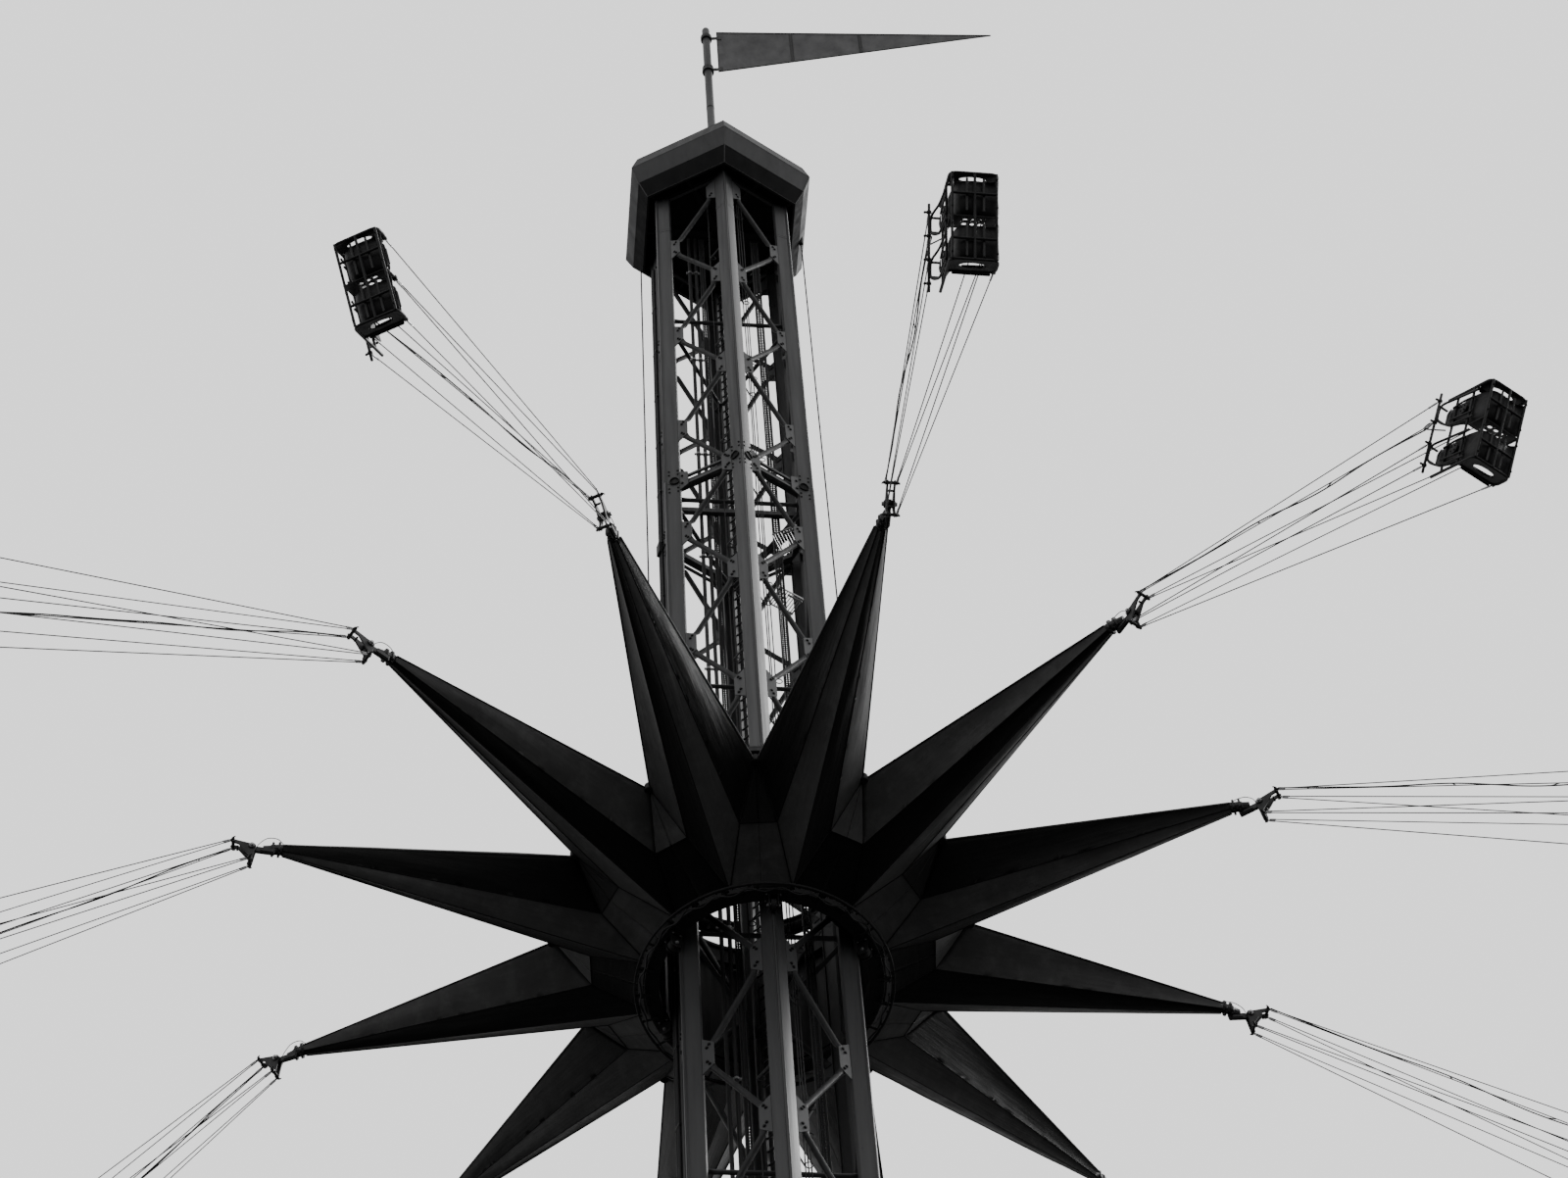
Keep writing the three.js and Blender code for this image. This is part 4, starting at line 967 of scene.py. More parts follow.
def cap_shell():
    """The cap: a dark hexagonal shell, and on it a panel for each side of the soffit, the fascia and the upper
    slope, with a folded drip edge and a cover strip at each corner."""
    wall = 0.016
    section = [(r, z) for r, z in CAP_EDGES] + [(r - wall, z) for r, z in CAP_EDGES[::-1]]
    section[4] = (CAP_EDGES[3][0] - wall, CAP_EDGES[3][1] - 0.021)
    parts = [hoop([(r - 0.004, z) for r, z in section], CORNERS, coat=1, start=CAP_START)]
    turns = circle(CORNERS, CAP_START)
    for (r0, z0), (r1, z1) in zip(CAP_EDGES[:-1], CAP_EDGES[1:]):
        for i in range(CORNERS):
            a, b = turns[i], turns[(i + 1) % CORNERS]
            corners = [(*a * (r0 - 0.0036), z0), (*b * (r0 - 0.0036), z0), (*b * (r1 - 0.0036), z1),
                       (*a * (r1 - 0.0036), z1)]
            # Panels of the lowest band, the soffit, take the soffit coat: painted shade under the cap.
            parts.append(flat_panel(corners, 0.0016, 0.0034, coat=2 if r0 < 0.9 else 0))
    for r, z in CAP_EDGES:
        ring = [(*turn * (r - 0.001), z) for turn in turns]
        parts.append(rods(ring, ring[1:] + ring[:1], 0.0035, 6))
    for (r0, z0), (r1, z1) in zip(CAP_EDGES[:-1], CAP_EDGES[1:]):
        low = [(*turn * (r0 - 0.001), z0) for turn in turns]
        high = [(*turn * (r1 - 0.001), z1) for turn in turns]
        parts.append(rods(low, high, 0.0045, 6))
    lip = [(0.823, 34.0705), (0.823, 34.082), (0.8, 34.082), (0.8, 34.0705)]
    parts.append(hoop(lip, CORNERS, start=CAP_START))
    return join(*parts)


def cap_ribs():
    """Inside the cap: a bar behind each corner and each side, and a ring that ties them."""
    parts = []
    for reach, shift in ((0.8, 0), (0.7, 30)):
        bar = blocks([(0.3 + reach / 2, 0, 34.13)], (reach - 0.6, 0.03, 0.05), 0.002)
        parts.append(bar.turned(CORNER_HEADINGS + shift))
    ring = [(0.66, 34.1), (0.7, 34.1), (0.7, 34.16), (0.66, 34.16)]
    parts.append(hoop(ring, CORNERS, start=CAP_START))
    return join(*parts)


def cap_roof():
    """The roof: six flat panels with standing seams at the corners, a flashing round the mast's foot and a
    round hatch."""
    top, edge = 34.771, 0.931
    turns = circle(CORNERS, CAP_START)
    body = spin([(edge - 0.006, 34.7513), (edge - 0.001, 34.753), (edge - 0.001, top - 0.006),
                 (edge - 0.006, top - 0.004)], CORNERS, start=CAP_START)
    inner = [(*turn * 0.13, top - 0.003) for turn in turns]
    outer = [(*turn * 0.915, top - 0.003) for turn in turns]
    seams = rods(inner, outer, 0.006, 6)
    parts = [body, seams]
    for i in range(CORNERS):
        corners = [inner[i], outer[i], outer[(i + 1) % CORNERS], inner[(i + 1) % CORNERS]]
        parts.append(flat_panel(corners, 0.006, 0.0025))
    hatch = spin([(0.2, 0), (0.2, 0.02), (0.19, 0.026), (0.02, 0.032)], 32).placed((-0.42, 0.18, top - 0.003))
    handle = tube(bend([(-0.5, 0.18, top + 0.02), (-0.5, 0.18, top + 0.05), (-0.34, 0.18, top + 0.05),
                        (-0.34, 0.18, top + 0.02)], 0.012), 0.006, 8, (0, 1, 0))
    flashing = spin([(0.125, top - 0.001), (0.122, top + 0.004), (0.1, top + 0.006)], 32, coat=1)
    return join(*parts, hatch, handle, flashing)


def mast():
    """The mast: a tube on a bolted flange with six ribs, the collar that carries the vane, and a ball top."""
    foot, collar = 34.7713, 37.9195
    profile = [(0.09, foot), (0.09, foot + 0.018), (0.088, foot + 0.02), (0.043, foot + 0.02),
               (0.041, foot + 0.024), (0.041, collar - 0.026), (0.046, collar - 0.024), (0.06, collar - 0.024),
               (0.062, collar - 0.022), (0.062, collar - 0.002), (0.06, collar), (0.041, collar),
               (0.041, 38.955), (0.038, 38.965), (0.036, 38.972), (0.03, 38.985), (0.018, 38.996), (0.006, 39.0)]
    ribs = plate([(0.0, 0.0), (0.042, 0.0), (0.042, 0.008), (0.008, 0.12), (0.0, 0.12)], 0.008)
    ribs = ribs.placed((0.04, 0.004, foot + 0.0205), UPRIGHT)
    ribs = ribs.turned(CORNER_HEADINGS + 30)
    heads = bolts([(0.072, 0, foot + 0.02)], [0, 0, 1], 0.009).turned(CORNER_HEADINGS)
    bands = [band(0.0405, 0.0425, z - 0.012, z + 0.012, 40, 1) for z in (35.9, 37.0)]
    return join(spin(profile, 40), ribs, heads, *bands)


def vane():
    """The vane: three thin panels between edge tubes that run to the tip, double rows of rivets where the
    panels meet, and two sleeves on the mast with their brackets."""
    start, tip, top, low = 0.111, 3.031, 38.9, 37.9
    middle = (top + low) / 2
    parts = []
    starts = [(start, 0, top - 0.004), (start, 0, low + 0.004), (start + 0.004, 0, low)]
    ends = [(tip - 0.01, 0, middle + 0.003), (tip - 0.01, 0, middle - 0.003), (start + 0.004, 0, top)]
    parts.append(rods(starts, ends, 0.0072, 12, stations=((0, 0, 1, 1, 0), (1, 0, 0.75, 0.75, 0)), coat=1))

    def high(x):
        return top - (x - start) / (tip - start) * (top - middle)

    joints = [start + 0.006, start + (tip - start) * 0.27, start + (tip - start) * 0.52, tip - 0.05]
    for x0, x1 in zip(joints[:-1], joints[1:]):
        t = np.linspace(0, 1, 14)[:, None]
        s = np.linspace(-1, 1, 9)[None, :]
        x = x0 + 0.002 + (x1 - x0 - 0.004) * t
        half = high(x) - middle - 0.004
        ripple = 0.0012 * np.sin(5 * s + 9 * x) * (1 - s**2)
        parts.append(sheet(spots(x, 0.0012 + ripple, middle + s * half), 0.0024))
    for joint in joints[1:3]:
        half = high(joint) - middle - 0.01
        parts.append(blocks([(joint, 0, middle)], (0.036, 0.009, 2 * half), 0.0012, coat=1))
        levels = np.linspace(-half + 0.02, half - 0.02, int(half / 0.016))
        for dx in (-0.011, 0.011):
            for y in (-1, 1):
                at = spots(joint + dx, y * 0.0044, middle + levels)
                rivet = spin([(0.0042, 0), (0.0038, 0.0014), (0.0018, 0.0022)], 6, coat=2)
                turn = np.array([[1, 0, 0], [0, 0, -y], [0, y, 0.0]])
                parts.append(rivet.copies(at, turn))
    for level in (37.96, 38.75):
        ring = [(0.0417, level - 0.04), (0.0575, level - 0.04), (0.059, level - 0.037), (0.059, level + 0.037),
                (0.0575, level + 0.04), (0.0417, level + 0.04)]
        parts.append(hoop(ring, 32, coat=1))
        parts.append(blocks([(0.085, 0, level)], (0.062, 0.012, 0.052), 0.002, coat=1))
        parts.append(bolts([(0.075, 0.006, level + 0.012), (0.075, 0.006, level - 0.012)], [0, 1, 0], 0.006, coat=2))
        parts.append(blocks([(0.135, 0, level)], (0.05, 0.013, 0.09), 0.002, coat=1))
    return join(*parts).placed(axes=yawed(radians(VANE_HEADING - 90)))


def hoist_rope(heading):
    """A rope: a round section carried straight down, with a swaged sleeve at its foot."""
    low = np.linspace(CARRIAGE_TOP + 0.0005, CARRIAGE_TOP + 0.2, 6)
    levels = np.concatenate([low, np.linspace(CARRIAGE_TOP + 0.4, ROPE_TOP, 44)])
    radius = np.where(levels < CARRIAGE_TOP + 0.13, 0.0095, 0.0068)
    x, y, _ = spoke(heading)[0] * ROPE_CIRCLE
    path = spots(x, y, levels)
    return tube(path, radius, 12, (1, 0, 0))


def rope_guides():
    """Where each rope leaves the cap: a short rubber bush with a tapered foot."""
    bush = hoop([(0.009, -0.075), (0.02, -0.07), (0.024, 0.0), (0.024, 0.05), (0.009, 0.05)], 20)
    return bush.placed((ROPE_CIRCLE, 0, 34.335)).turned(ROPE_HEADINGS)


def head_details():
    """On the head frame: a plate with two bolts over each column, and a beam to each side."""
    heads = bolts(spots(0.66, 0.05 * BOTH, 34.24), [0, 0, 1], 0.014, coat=0).turned(CORNER_HEADINGS)
    caps = blocks([(0.62, 0, 34.19)], (0.16, 0.2, 0.018), coat=1).turned(CORNER_HEADINGS)
    beams = blocks([(0.36, 0, 34.172)], (0.6, 0.06, 0.05), 0.004, coat=1).turned(CORNER_HEADINGS + 30)
    return join(heads, caps, beams)


# Carriage

def carriage():
    """The carriage: flanged rings round the tower, six bolted posts with side plates, and gussets and bolts
    round its flanges."""
    parts = []
    rings = [(0.75, 0.856, 22.4195, 22.4395), (0.75, 0.79, 22.4395, 22.4595), (0.77, 0.79, 22.47, 22.62),
             (0.752, 0.792, 22.48, 22.5), (0.77, 0.79, 23.62, 23.82), (0.75, 0.796, 23.79, 23.82),
             (0.75, 0.796, 23.615, 23.64), (0.75, 0.88, 24.13, 24.15), (0.77, 0.79, 24.09, 24.13),
             (0.86, 0.88, 24.09, 24.13)]
    for inner, outer, low, high in rings:
        e = 0.002
        section = [(inner + e, low), (outer - e, low), (outer, low + e), (outer, high - e), (outer - e, high),
                   (inner + e, high), (inner, high - e), (inner, low + e)]
        parts.append(hoop(section, 72))
    post = [blocks([(0.783, 0, 23.29)], (0.016, 0.116, 1.66)),
            blocks(spots(0.77, 0.054 * BOTH, 23.29), (0.036, 0.01, 1.66))]
    holes = bolts([(0.791, s * 0.04, z) for s in (-1, 1) for z in (22.54, 22.6, 23.66, 23.72, 24.06)], [1, 0, 0],
                  0.01)
    parts.append(join(*post, holes).turned(CORNER_HEADINGS))
    gussets = plate([(0, 0), (0.06, 0), (0.06, -0.008), (0.012, -0.085), (0, -0.085)], 0.008)
    gussets = gussets.placed((0.7915, 0.004, 24.1295), UPRIGHT)
    parts.append(gussets.turned(15 * np.arange(24) + 7.5))
    heads = bolts([(0.836, 0, 22.4195)], [0, 0, -1], 0.01).turned(10 * np.arange(36) + 5)
    tops = bolts([(0.82, 0, 24.15)], [0, 0, 1], 0.01).turned(10 * np.arange(36) + 5)
    parts += [heads, tops]
    return join(*parts)


def guide_rollers():
    """The rollers: a rubber tyre on a hub between two cheeks that stand on a plate, with an axle and nuts."""
    axle_at, plate_at = 0.7757, 0.7825
    tyre = hoop([(0.026, -0.019), (0.0425, -0.019), (0.0445, -0.016), (0.045, 0.0), (0.0445, 0.016), (0.0425, 0.019),
                 (0.026, 0.019)], 28, coat=2)
    hub = spin([(0.01, -0.023), (0.018, -0.023), (0.02, -0.016), (0.0265, -0.014), (0.0265, 0.014), (0.02, 0.016),
                (0.018, 0.023), (0.01, 0.023)], 20, coat=1)
    roller = join(tyre, hub).placed((axle_at, 0, 0), UPRIGHT)
    parts = []
    for level, up in ((22.34, 1), (24.23, -1)):
        cheek = plate(rounded([(-0.045, -0.045), (0.045, -0.045), (0.045, 0.088), (-0.045, 0.088)],
                              [0.03, 0.03, 0.004, 0.004]), 0.008)
        turn = np.array([[1, 0, 0], [0, 0, float(up)], [0, -1.0, 0]])
        cheeks = join(cheek.placed((axle_at, 0.036, 0), turn), cheek.placed((axle_at, -0.028, 0), turn))
        foot = blocks([(plate_at, 0, up * 0.083)], (0.085, 0.115, 0.012), 0.002)
        axle = rods([[axle_at, -0.05, 0]], [[axle_at, 0.05, 0]], 0.008, 10, coat=1)
        nuts = bolts([(axle_at, 0.036, 0), (axle_at, -0.036, 0)], [[0, 1, 0], [0, -1, 0]], 0.012)
        studs = bolts([(plate_at + dx, s * 0.049, up * 0.077) for dx in (-0.03, 0.03) for s in (-1, 1)],
                      [0, 0, -up], 0.007)
        parts.append(join(roller, cheeks, foot, axle, nuts, studs).placed((0, 0, level)))
    return join(*parts).turned(CORNER_HEADINGS)


def rope_anchors():
    """The foot of each hoist rope: a bolted plate on the top flange, and the rope's conical socket."""
    base = blocks([(0.83, 0, 24.156)], (0.09, 0.11, 0.011), 0.002)
    cone = spin([(0.022, 24.162), (0.022, 24.19), (0.015, 24.24), (0.011, 24.262), (0.0096, 24.264)], 16)
    heads = bolts([(0.83 + dx, s * 0.042, 24.1615) for dx in (-0.032, 0.032) for s in (-1, 1)], [0, 0, 1], 0.008)
    return join(base, cone.placed((0.83, 0, 0)), heads).turned(ROPE_HEADINGS)


def landing_segments():
    """Under the carriage: a round rail on brackets that reach out past the flange, light arcs of flat bar
    between them with sky around, and a cable that hangs in shallow waves from bracket to bracket."""
    parts = [hoop([(0.917, 22.391), (0.929, 22.391), (0.931, 22.393), (0.931, 22.409), (0.929, 22.411),
                   (0.917, 22.411)], 96, coat=1)]
    headings = np.arange(0, 360, 15)
    bracket = blocks([(0.865, 0, 22.405)], (0.124, 0.016, 0.012), 0.002, coat=1)
    arc = arc_bar(0.868, 0.902, 22.396, 22.408, 5.6, 6)
    ties = blocks(spots(0.909, 0.06 * BOTH, 22.4), (0.026, 0.014, 0.008), 0.002, coat=1)
    parts += [bracket.turned(headings + 7.5), join(arc, ties).turned(headings[headings % 60 > 0])]
    turn = np.linspace(0, 2 * pi, 289)[:-1]
    reach = 0.886 + 0.01 * np.sin(24 * turn)
    level = 22.372 + 0.012 * np.sin(24 * turn + 0.6) + 0.006 * np.sin(7 * turn)
    path = spots(reach * np.cos(turn), reach * np.sin(turn), level)
    parts.append(tube(np.concatenate([path, path[:1]])[:-6], 0.0065, 6, (0, 0, 1), coat=1))
    return join(*parts)


def star_hub():
    """The hub: a twelve-sided drum with a strip of steel inside its top edge."""
    start = radians(9.15) - pi / 2
    drum = [(0.829, 22.4605), (0.8494, 22.4605), (0.8494, 23.6995), (0.829, 23.6995)]
    strip = [(0.824, 23.64), (0.8292, 23.64), (0.8292, 23.698), (0.824, 23.698)]
    return join(hoop(drum, ARMS, start=start), hoop(strip, ARMS, 1, start))


# Star: the fabric, its frame ends, and the chairs

SLOPE = pi / ARMS
SEAM_BANDS = (1.62, 2.24, 2.86)


def seam_point(radius, level):
    """A point on the plane between two arms, in the frame of one of them."""
    return np.array([radius * cos(SLOPE) + 0.0006 * sin(SLOPE), radius * sin(SLOPE) - 0.0006 * cos(SLOPE), level])


RING_MIDDLE = HUB_RADIUS * cos(SLOPE)
KEEL_ROOT = np.array([HUB_RADIUS, 0, HUB_BOTTOM])
KEEL_END = np.array([ARM_END, 0, TIP_LEVEL - 0.058])
EDGE = np.array([1.228, 0.193, 22.69])
EDGE_END = np.array([ARM_END, 0.026, TIP_LEVEL - 0.042])
CHINE_END = np.array([ARM_END, 0.046, TIP_LEVEL])
RIDGE_END = np.array([ARM_END, 0, TIP_LEVEL + 0.06])
RIDGE_ROOT = np.array([HUB_RADIUS, 0, HUB_TOP])
PANEL_MIDDLE = seam_point(1.228 * cos(SLOPE) + 0.193 * sin(SLOPE), 22.69)
VALLEY = seam_point(1.504, 23.05)
CROWN = seam_point(RING_MIDDLE, HUB_TOP - 0.1)
RING_SIDE = seam_point(RING_MIDDLE, HUB_BOTTOM)


def cloth_patch(a, b, c, d, rows, columns, sag, pull=0.0, phase=0.0, coat=0):
    """A panel of cloth between four corners: s runs from a to b and from d to c, t from a to d. It hollows
    by sag times 16 s(1-s) t(1-t), creases run from the corner a and from the edge t = 0 with a height of pull
    that fades to nothing at every edge, and a welded seam 30 mm wide stands 1.2 mm proud across the arm."""
    s = np.linspace(0, 1, rows)
    x0, x1 = a[0], b[0]
    if x1 - x0 > 1.5:
        marks = [(x - x0 + e) / (x1 - x0) for x in SEAM_BANDS for e in (-0.017, -0.0145, 0.0145, 0.017)]
        s = np.sort(np.concatenate([s, [m for m in marks if 0.02 < m < 0.98]]))
    s, t = s[:, None, None], np.linspace(0, 1, columns)[None, :, None]
    points = a * (1 - s) * (1 - t) + b * s * (1 - t) + c * s * t + d * (1 - s) * t
    normal = unit(np.cross(c - a, d - b) if np.linalg.norm(c - b) > 1e-6 else np.cross(b - a, d - a))
    fade = 16 * s * (1 - s) * t * (1 - t)
    length = np.linalg.norm(b - a)
    rays = np.sin(t * 21 + phase + 3.0 * s) * np.exp(-s * length * 2.2)
    folds = np.sin(s * length * 19 + t * 7 + phase * 1.7) * np.exp(-((t - 0.15) ** 2) * 14) * 0.35
    slack = np.sin(s * length * 4.1 + phase) * np.sin(t * 5.0 + phase * 0.6) * 0.8
    points = points + normal * (-sag * fade + pull * np.minimum(fade, 1) * (rays + folds + slack))
    bands = sum(np.abs(points[..., :1] - x) < 0.0155 for x in SEAM_BANDS) if x1 - x0 > 1.5 else 0
    points = points + normal * 0.0012 * bands * (fade > 0)
    along = np.linalg.norm(points - points[:1], axis=-1)
    across = t[..., 0] * np.linalg.norm(d - a) * (1 - s[..., 0]) + t[..., 0] * np.linalg.norm(c - b) * s[..., 0]
    n, m = points.shape[:2]
    form = Form(points, [(grid_faces(n, m), coat)], spots(along, across))
    middle = points[n // 2, m // 2] - np.array([1.5, 0, 23.05])
    face = form.groups[0][0][(n // 2 - 1) * (m - 1) + m // 2 - 1]
    p = form.points[face]
    return form.flipped() if np.dot(np.cross(p[1] - p[0], p[2] - p[0]), middle) < 0 else form


def pale_inside(number, side):
    """Whether the sector on this side of an arm has pale lower panels and dark side panels. The cloth's two
    colours change places from one sector between two arms to the next."""
    return (number if side > 0 else number - 1) % 2 == 1


def arm_underside(number):
    """The cloth under one arm: two lower faces that meet in the keel, half a panel of the ring on each side,
    and a side face on each side that rises to the valley and the piping. The lower panels have one colour and
    the side panels the other."""
    halves = []
    for side in (1, -1):
        flip = (1, side, 1)
        phase = number * 1.37 + side
        k, ke, e, ee = KEEL_ROOT, KEEL_END, EDGE * flip, EDGE_END * flip
        p, r, v, ce = PANEL_MIDDLE * flip, RING_SIDE * flip, VALLEY * flip, CHINE_END * flip
        low, high = (1, 0) if pale_inside(number, side) else (0, 1)
        halves += [cloth_patch(k, ke, ee, e, 64, 12, 0.01, 0.004, phase, low),
                   cloth_patch(k, r, p, e, 9, 10, 0.006, 0.003, phase + 1, low),
                   cloth_patch(e, v, v, p, 9, 9, 0.003, 0.0025, phase + 2, high),
                   cloth_patch(e, ee, ce, v, 64, 10, 0.012, 0.0045, phase + 3, high)]
    return join(*halves)


def arm_top(number):
    """The cloth over one arm, from the piping on one side over the ridge to the other, up to the hub."""
    halves = []
    for side in (1, -1):
        flip = (1, side, 1)
        phase = number * 0.83 + 2 * side
        v, ce, c = VALLEY * flip, CHINE_END * flip, CROWN * flip
        coat = int(pale_inside(number, side))
        halves += [cloth_patch(v, ce, RIDGE_END, RIDGE_ROOT, 40, 12, 0.012, 0.004, phase, coat),
                   cloth_patch(v, RIDGE_ROOT, RIDGE_ROOT, c, 12, 8, 0.006, 0.003, phase + 1, coat)]
    return join(*halves)


def arm_piping(number):
    """Round beads on one arm's seams: a dark one along the keel, the lower edges, the ring panels and the
    ridge, and along each side edge a thicker one in the colour of the cloth above it."""
    starts, ends, parts = [KEEL_ROOT, RIDGE_ROOT], [KEEL_END, RIDGE_END], []
    shift = np.array([0, 0, -0.0015])
    for side in (1, -1):
        flip = (1, side, 1)
        pairs = [(EDGE, EDGE_END), (KEEL_ROOT, EDGE), (EDGE, PANEL_MIDDLE), (EDGE, VALLEY)]
        starts += [a * flip for a, _ in pairs]
        ends += [b * flip for _, b in pairs]
        edge = np.array([VALLEY, CHINE_END]) * flip + shift
        parts.append(rods(edge[:1], edge[1:], 0.006, 6, coat=int(pale_inside(number, side))))
    return join(rods(np.array(starts) + shift, np.array(ends) + shift, 0.0036, 6), *parts)


def arm_end():
    """The steel end of one arm: a tapering octagonal beam that comes out of the cloth, two clamp collars with
    bolts, the bored lug that carries the chair's pin, and the safety wire over it."""
    stations = [(3.4, 0.02, 0.04), (3.497, 0.03, 0.048), (3.502, 0.036, 0.046), (3.585, 0.032, 0.04),
                (3.592, 0.026, 0.034), (3.64, 0.018, 0.031)]
    t = circle(8, pi / 8) / cos(pi / 8)
    beam = loft([[(x, w * c, TIP_LEVEL - (x - 3.5) * 0.19 + h * s) for c, s in t] for x, w, h in stations])
    parts = [beam]
    for x, w, h in ((3.525, 0.041, 0.05), (3.57, 0.039, 0.046)):
        level = TIP_LEVEL - (x - 3.5) * 0.19
        outer = rounded([(-w, -h), (w, -h), (w, h), (-w, h)], 0.016, 4)
        collar = plate(outer, 0.016, 0.002).placed((x - 0.008, 0, level), SIDEWAYS)
        ears = blocks([(x, 0, level + h + 0.008), (x, 0, level - h - 0.008)], (0.016, 0.034, 0.022), 0.002)
        heads = bolts([(x, s * 0.017, level + u * (h + 0.01)) for s in (-1, 1) for u in (-1, 1)],
                      [(0, s, 0) for s in (-1, 1) for _ in (0, 1)], 0.007)
        parts += [collar, ears, heads]
    eye = ring_plate(circle(32) * 0.034, circle(32) * 0.0148, 0.024)
    eye = eye.placed((0, 0.012, 0), UPRIGHT)
    shank = blocks([(-0.096, 0, 0)], (0.14, 0.0236, 0.06), 0.004)
    ribs = blocks(spots(-0.11, 0.0148 * BOTH, 0), (0.1, 0.006, 0.04), 0.002)
    dip = radians(-8)
    tilt = np.array([[cos(dip), 0, -sin(dip)], [0, 1, 0], [sin(dip), 0, cos(dip)]])
    lug = join(eye, shank, ribs).placed(axes=tilt).placed(axes=yawed(radians(-LAG)))
    parts.append(lug.placed((PIN_CIRCLE, 0, PIN_LEVEL)))
    wire = curve([(3.5, 0.012, 23.125), (3.545, 0.016, 23.168), (3.615, 0.01, 23.165), (3.668, -0.003, 23.105),
                  (3.686, -0.006, 23.048)], 24)
    parts.append(tube(wire, 0.003, 6, (0, 1, 0), coat=2))
    return join(*parts)


def valley_caps():
    """The black caps of the posts that hold the cloth up at each valley."""
    cap = spin([(0.004, -0.02), (0.03, -0.018), (0.034, -0.012), (0.034, 0.044), (0.028, 0.052), (0.005, 0.055)], 16)
    return cap.placed((1.516, 0, 23.038)).turned(ARM_HEADINGS + 15)


def root_flange():
    """The clamp that holds the cloth to the hub's lower edge: a flat strip with four bolts on each side."""
    parts = []
    for side in (-1, 1):
        flip = (1, side, 1)
        a, b = KEEL_ROOT, RING_SIDE * flip
        middle = (a + b) / 2 + (0.004, 0, -0.004)
        x = unit(b - a)
        axes = np.array([x, np.cross([0, 0, 1.0], x), [0, 0, 1.0]])
        parts.append(blocks([middle], (np.linalg.norm(b - a) - 0.004, 0.026, 0.006), 0.001, axes))
        count = np.linspace(-0.08, 0.08, 4)
        parts.append(bolts(middle + count[:, None] * x - (0, 0, 0.003), [0, 0, -1], 0.006))
    return join(*parts)


SEAT_X = 0.152


def bucket_seat():
    """One moulded seat: a spine from the headrest over the back to the front lip is carried across the seat;
    its edges rise towards the rider by a wing height times the fourth power of the way out."""
    spine = curve([(-0.136, 0.292), (-0.142, 0.235), (-0.14, 0.15), (-0.132, 0.06), (-0.122, -0.01),
                   (-0.108, -0.058), (-0.074, -0.086), (-0.01, -0.091), (0.06, -0.08), (0.112, -0.07),
                   (0.14, -0.084)], 40)
    s = np.linspace(0, 1, 40)
    half = np.interp(s, [0, 0.07, 0.2, 0.3, 0.45, 0.6, 0.75, 1.0],
                     [0.045, 0.066, 0.08, 0.112, 0.119, 0.118, 0.12, 0.113])
    wing = np.interp(s, [0, 0.1, 0.3, 0.5, 0.68, 0.85, 1.0], [0.004, 0.018, 0.034, 0.05, 0.046, 0.03, 0.004])
    along = unit(np.gradient(spine, axis=0))
    towards = np.column_stack([-along[:, 1], along[:, 0]])
    t = np.linspace(-1, 1, 21)
    lift = wing[:, None] * np.abs(t) ** 4 - 0.004 * np.cos(t * pi * 1.5) * (s[:, None] > 0.5)
    y = spine[:, :1] + towards[:, :1] * lift
    z = spine[:, 1:] + towards[:, 1:] * lift
    x = half[:, None] * np.sin(t * pi / 2 * 0.92) / sin(pi / 2 * 0.92)
    grid = np.stack([x, y, z], -1)
    shell = sheet(grid, 0.006)
    edge = np.concatenate([grid[:, 0], grid[-1, 1:-1], grid[::-1, -1], grid[0, -2:0:-1]])
    rim = tube(edge, 0.0045, 6, (0, 0.3, 1), closed=True)
    return join(shell, rim)


def seat_backs():
    """On the back of each shell: two ribs, a round boss with four bolts, and the pale crescent of the
    headrest, an arc of tube that follows its curve, whose paleness is a painted highlight on the headrest's rim."""
    parts = []
    ribs = [curve([(x, -0.152, 0.02), (x, -0.156, 0.12), (x * 0.8, -0.155, 0.22)], 12) for x in (-0.055, 0.055)]
    parts += [tube(rib, 0.007, 8, (1, 0, 0)) for rib in ribs]
    boss = spin([(0.034, 0), (0.033, 0.008), (0.026, 0.011), (0.006, 0.011)], 24)
    parts.append(boss.placed((0, -0.147, 0.115), UPRIGHT))
    heads = [(0.022 * cos(a), -0.158, 0.115 + 0.022 * sin(a)) for a in (pi / 4, 3 * pi / 4, 5 * pi / 4, 7 * pi / 4)]
    parts.append(bolts(heads, [0, -1, 0], 0.005))
    a = np.linspace(radians(20), radians(160), 16)
    arc = spots(0.046 * np.cos(a), -0.1535, 0.222 + 0.04 * np.sin(a))
    # The crescent's pale coat is a painted highlight along the headrest's rim.
    parts.append(tube(arc, np.interp(np.arange(16), [0, 7.5, 15], [0.003, 0.0075, 0.003]), 8, (0, 1, 0), coat=2))
    return join(*parts)


def side_panel():
    """The side plate of the chair with its oval opening. The outer loop is an oval with corners squared by a
    fifth power, the inner one an ellipse, and their points lie on the same rays."""
    rays = circle(36)
    reach = 1 / (np.abs(rays) ** 5).sum(1, keepdims=True) ** 0.2
    return ring_plate(rays * reach * (0.138, 0.07), rays * (0.08, 0.03), 0.005)


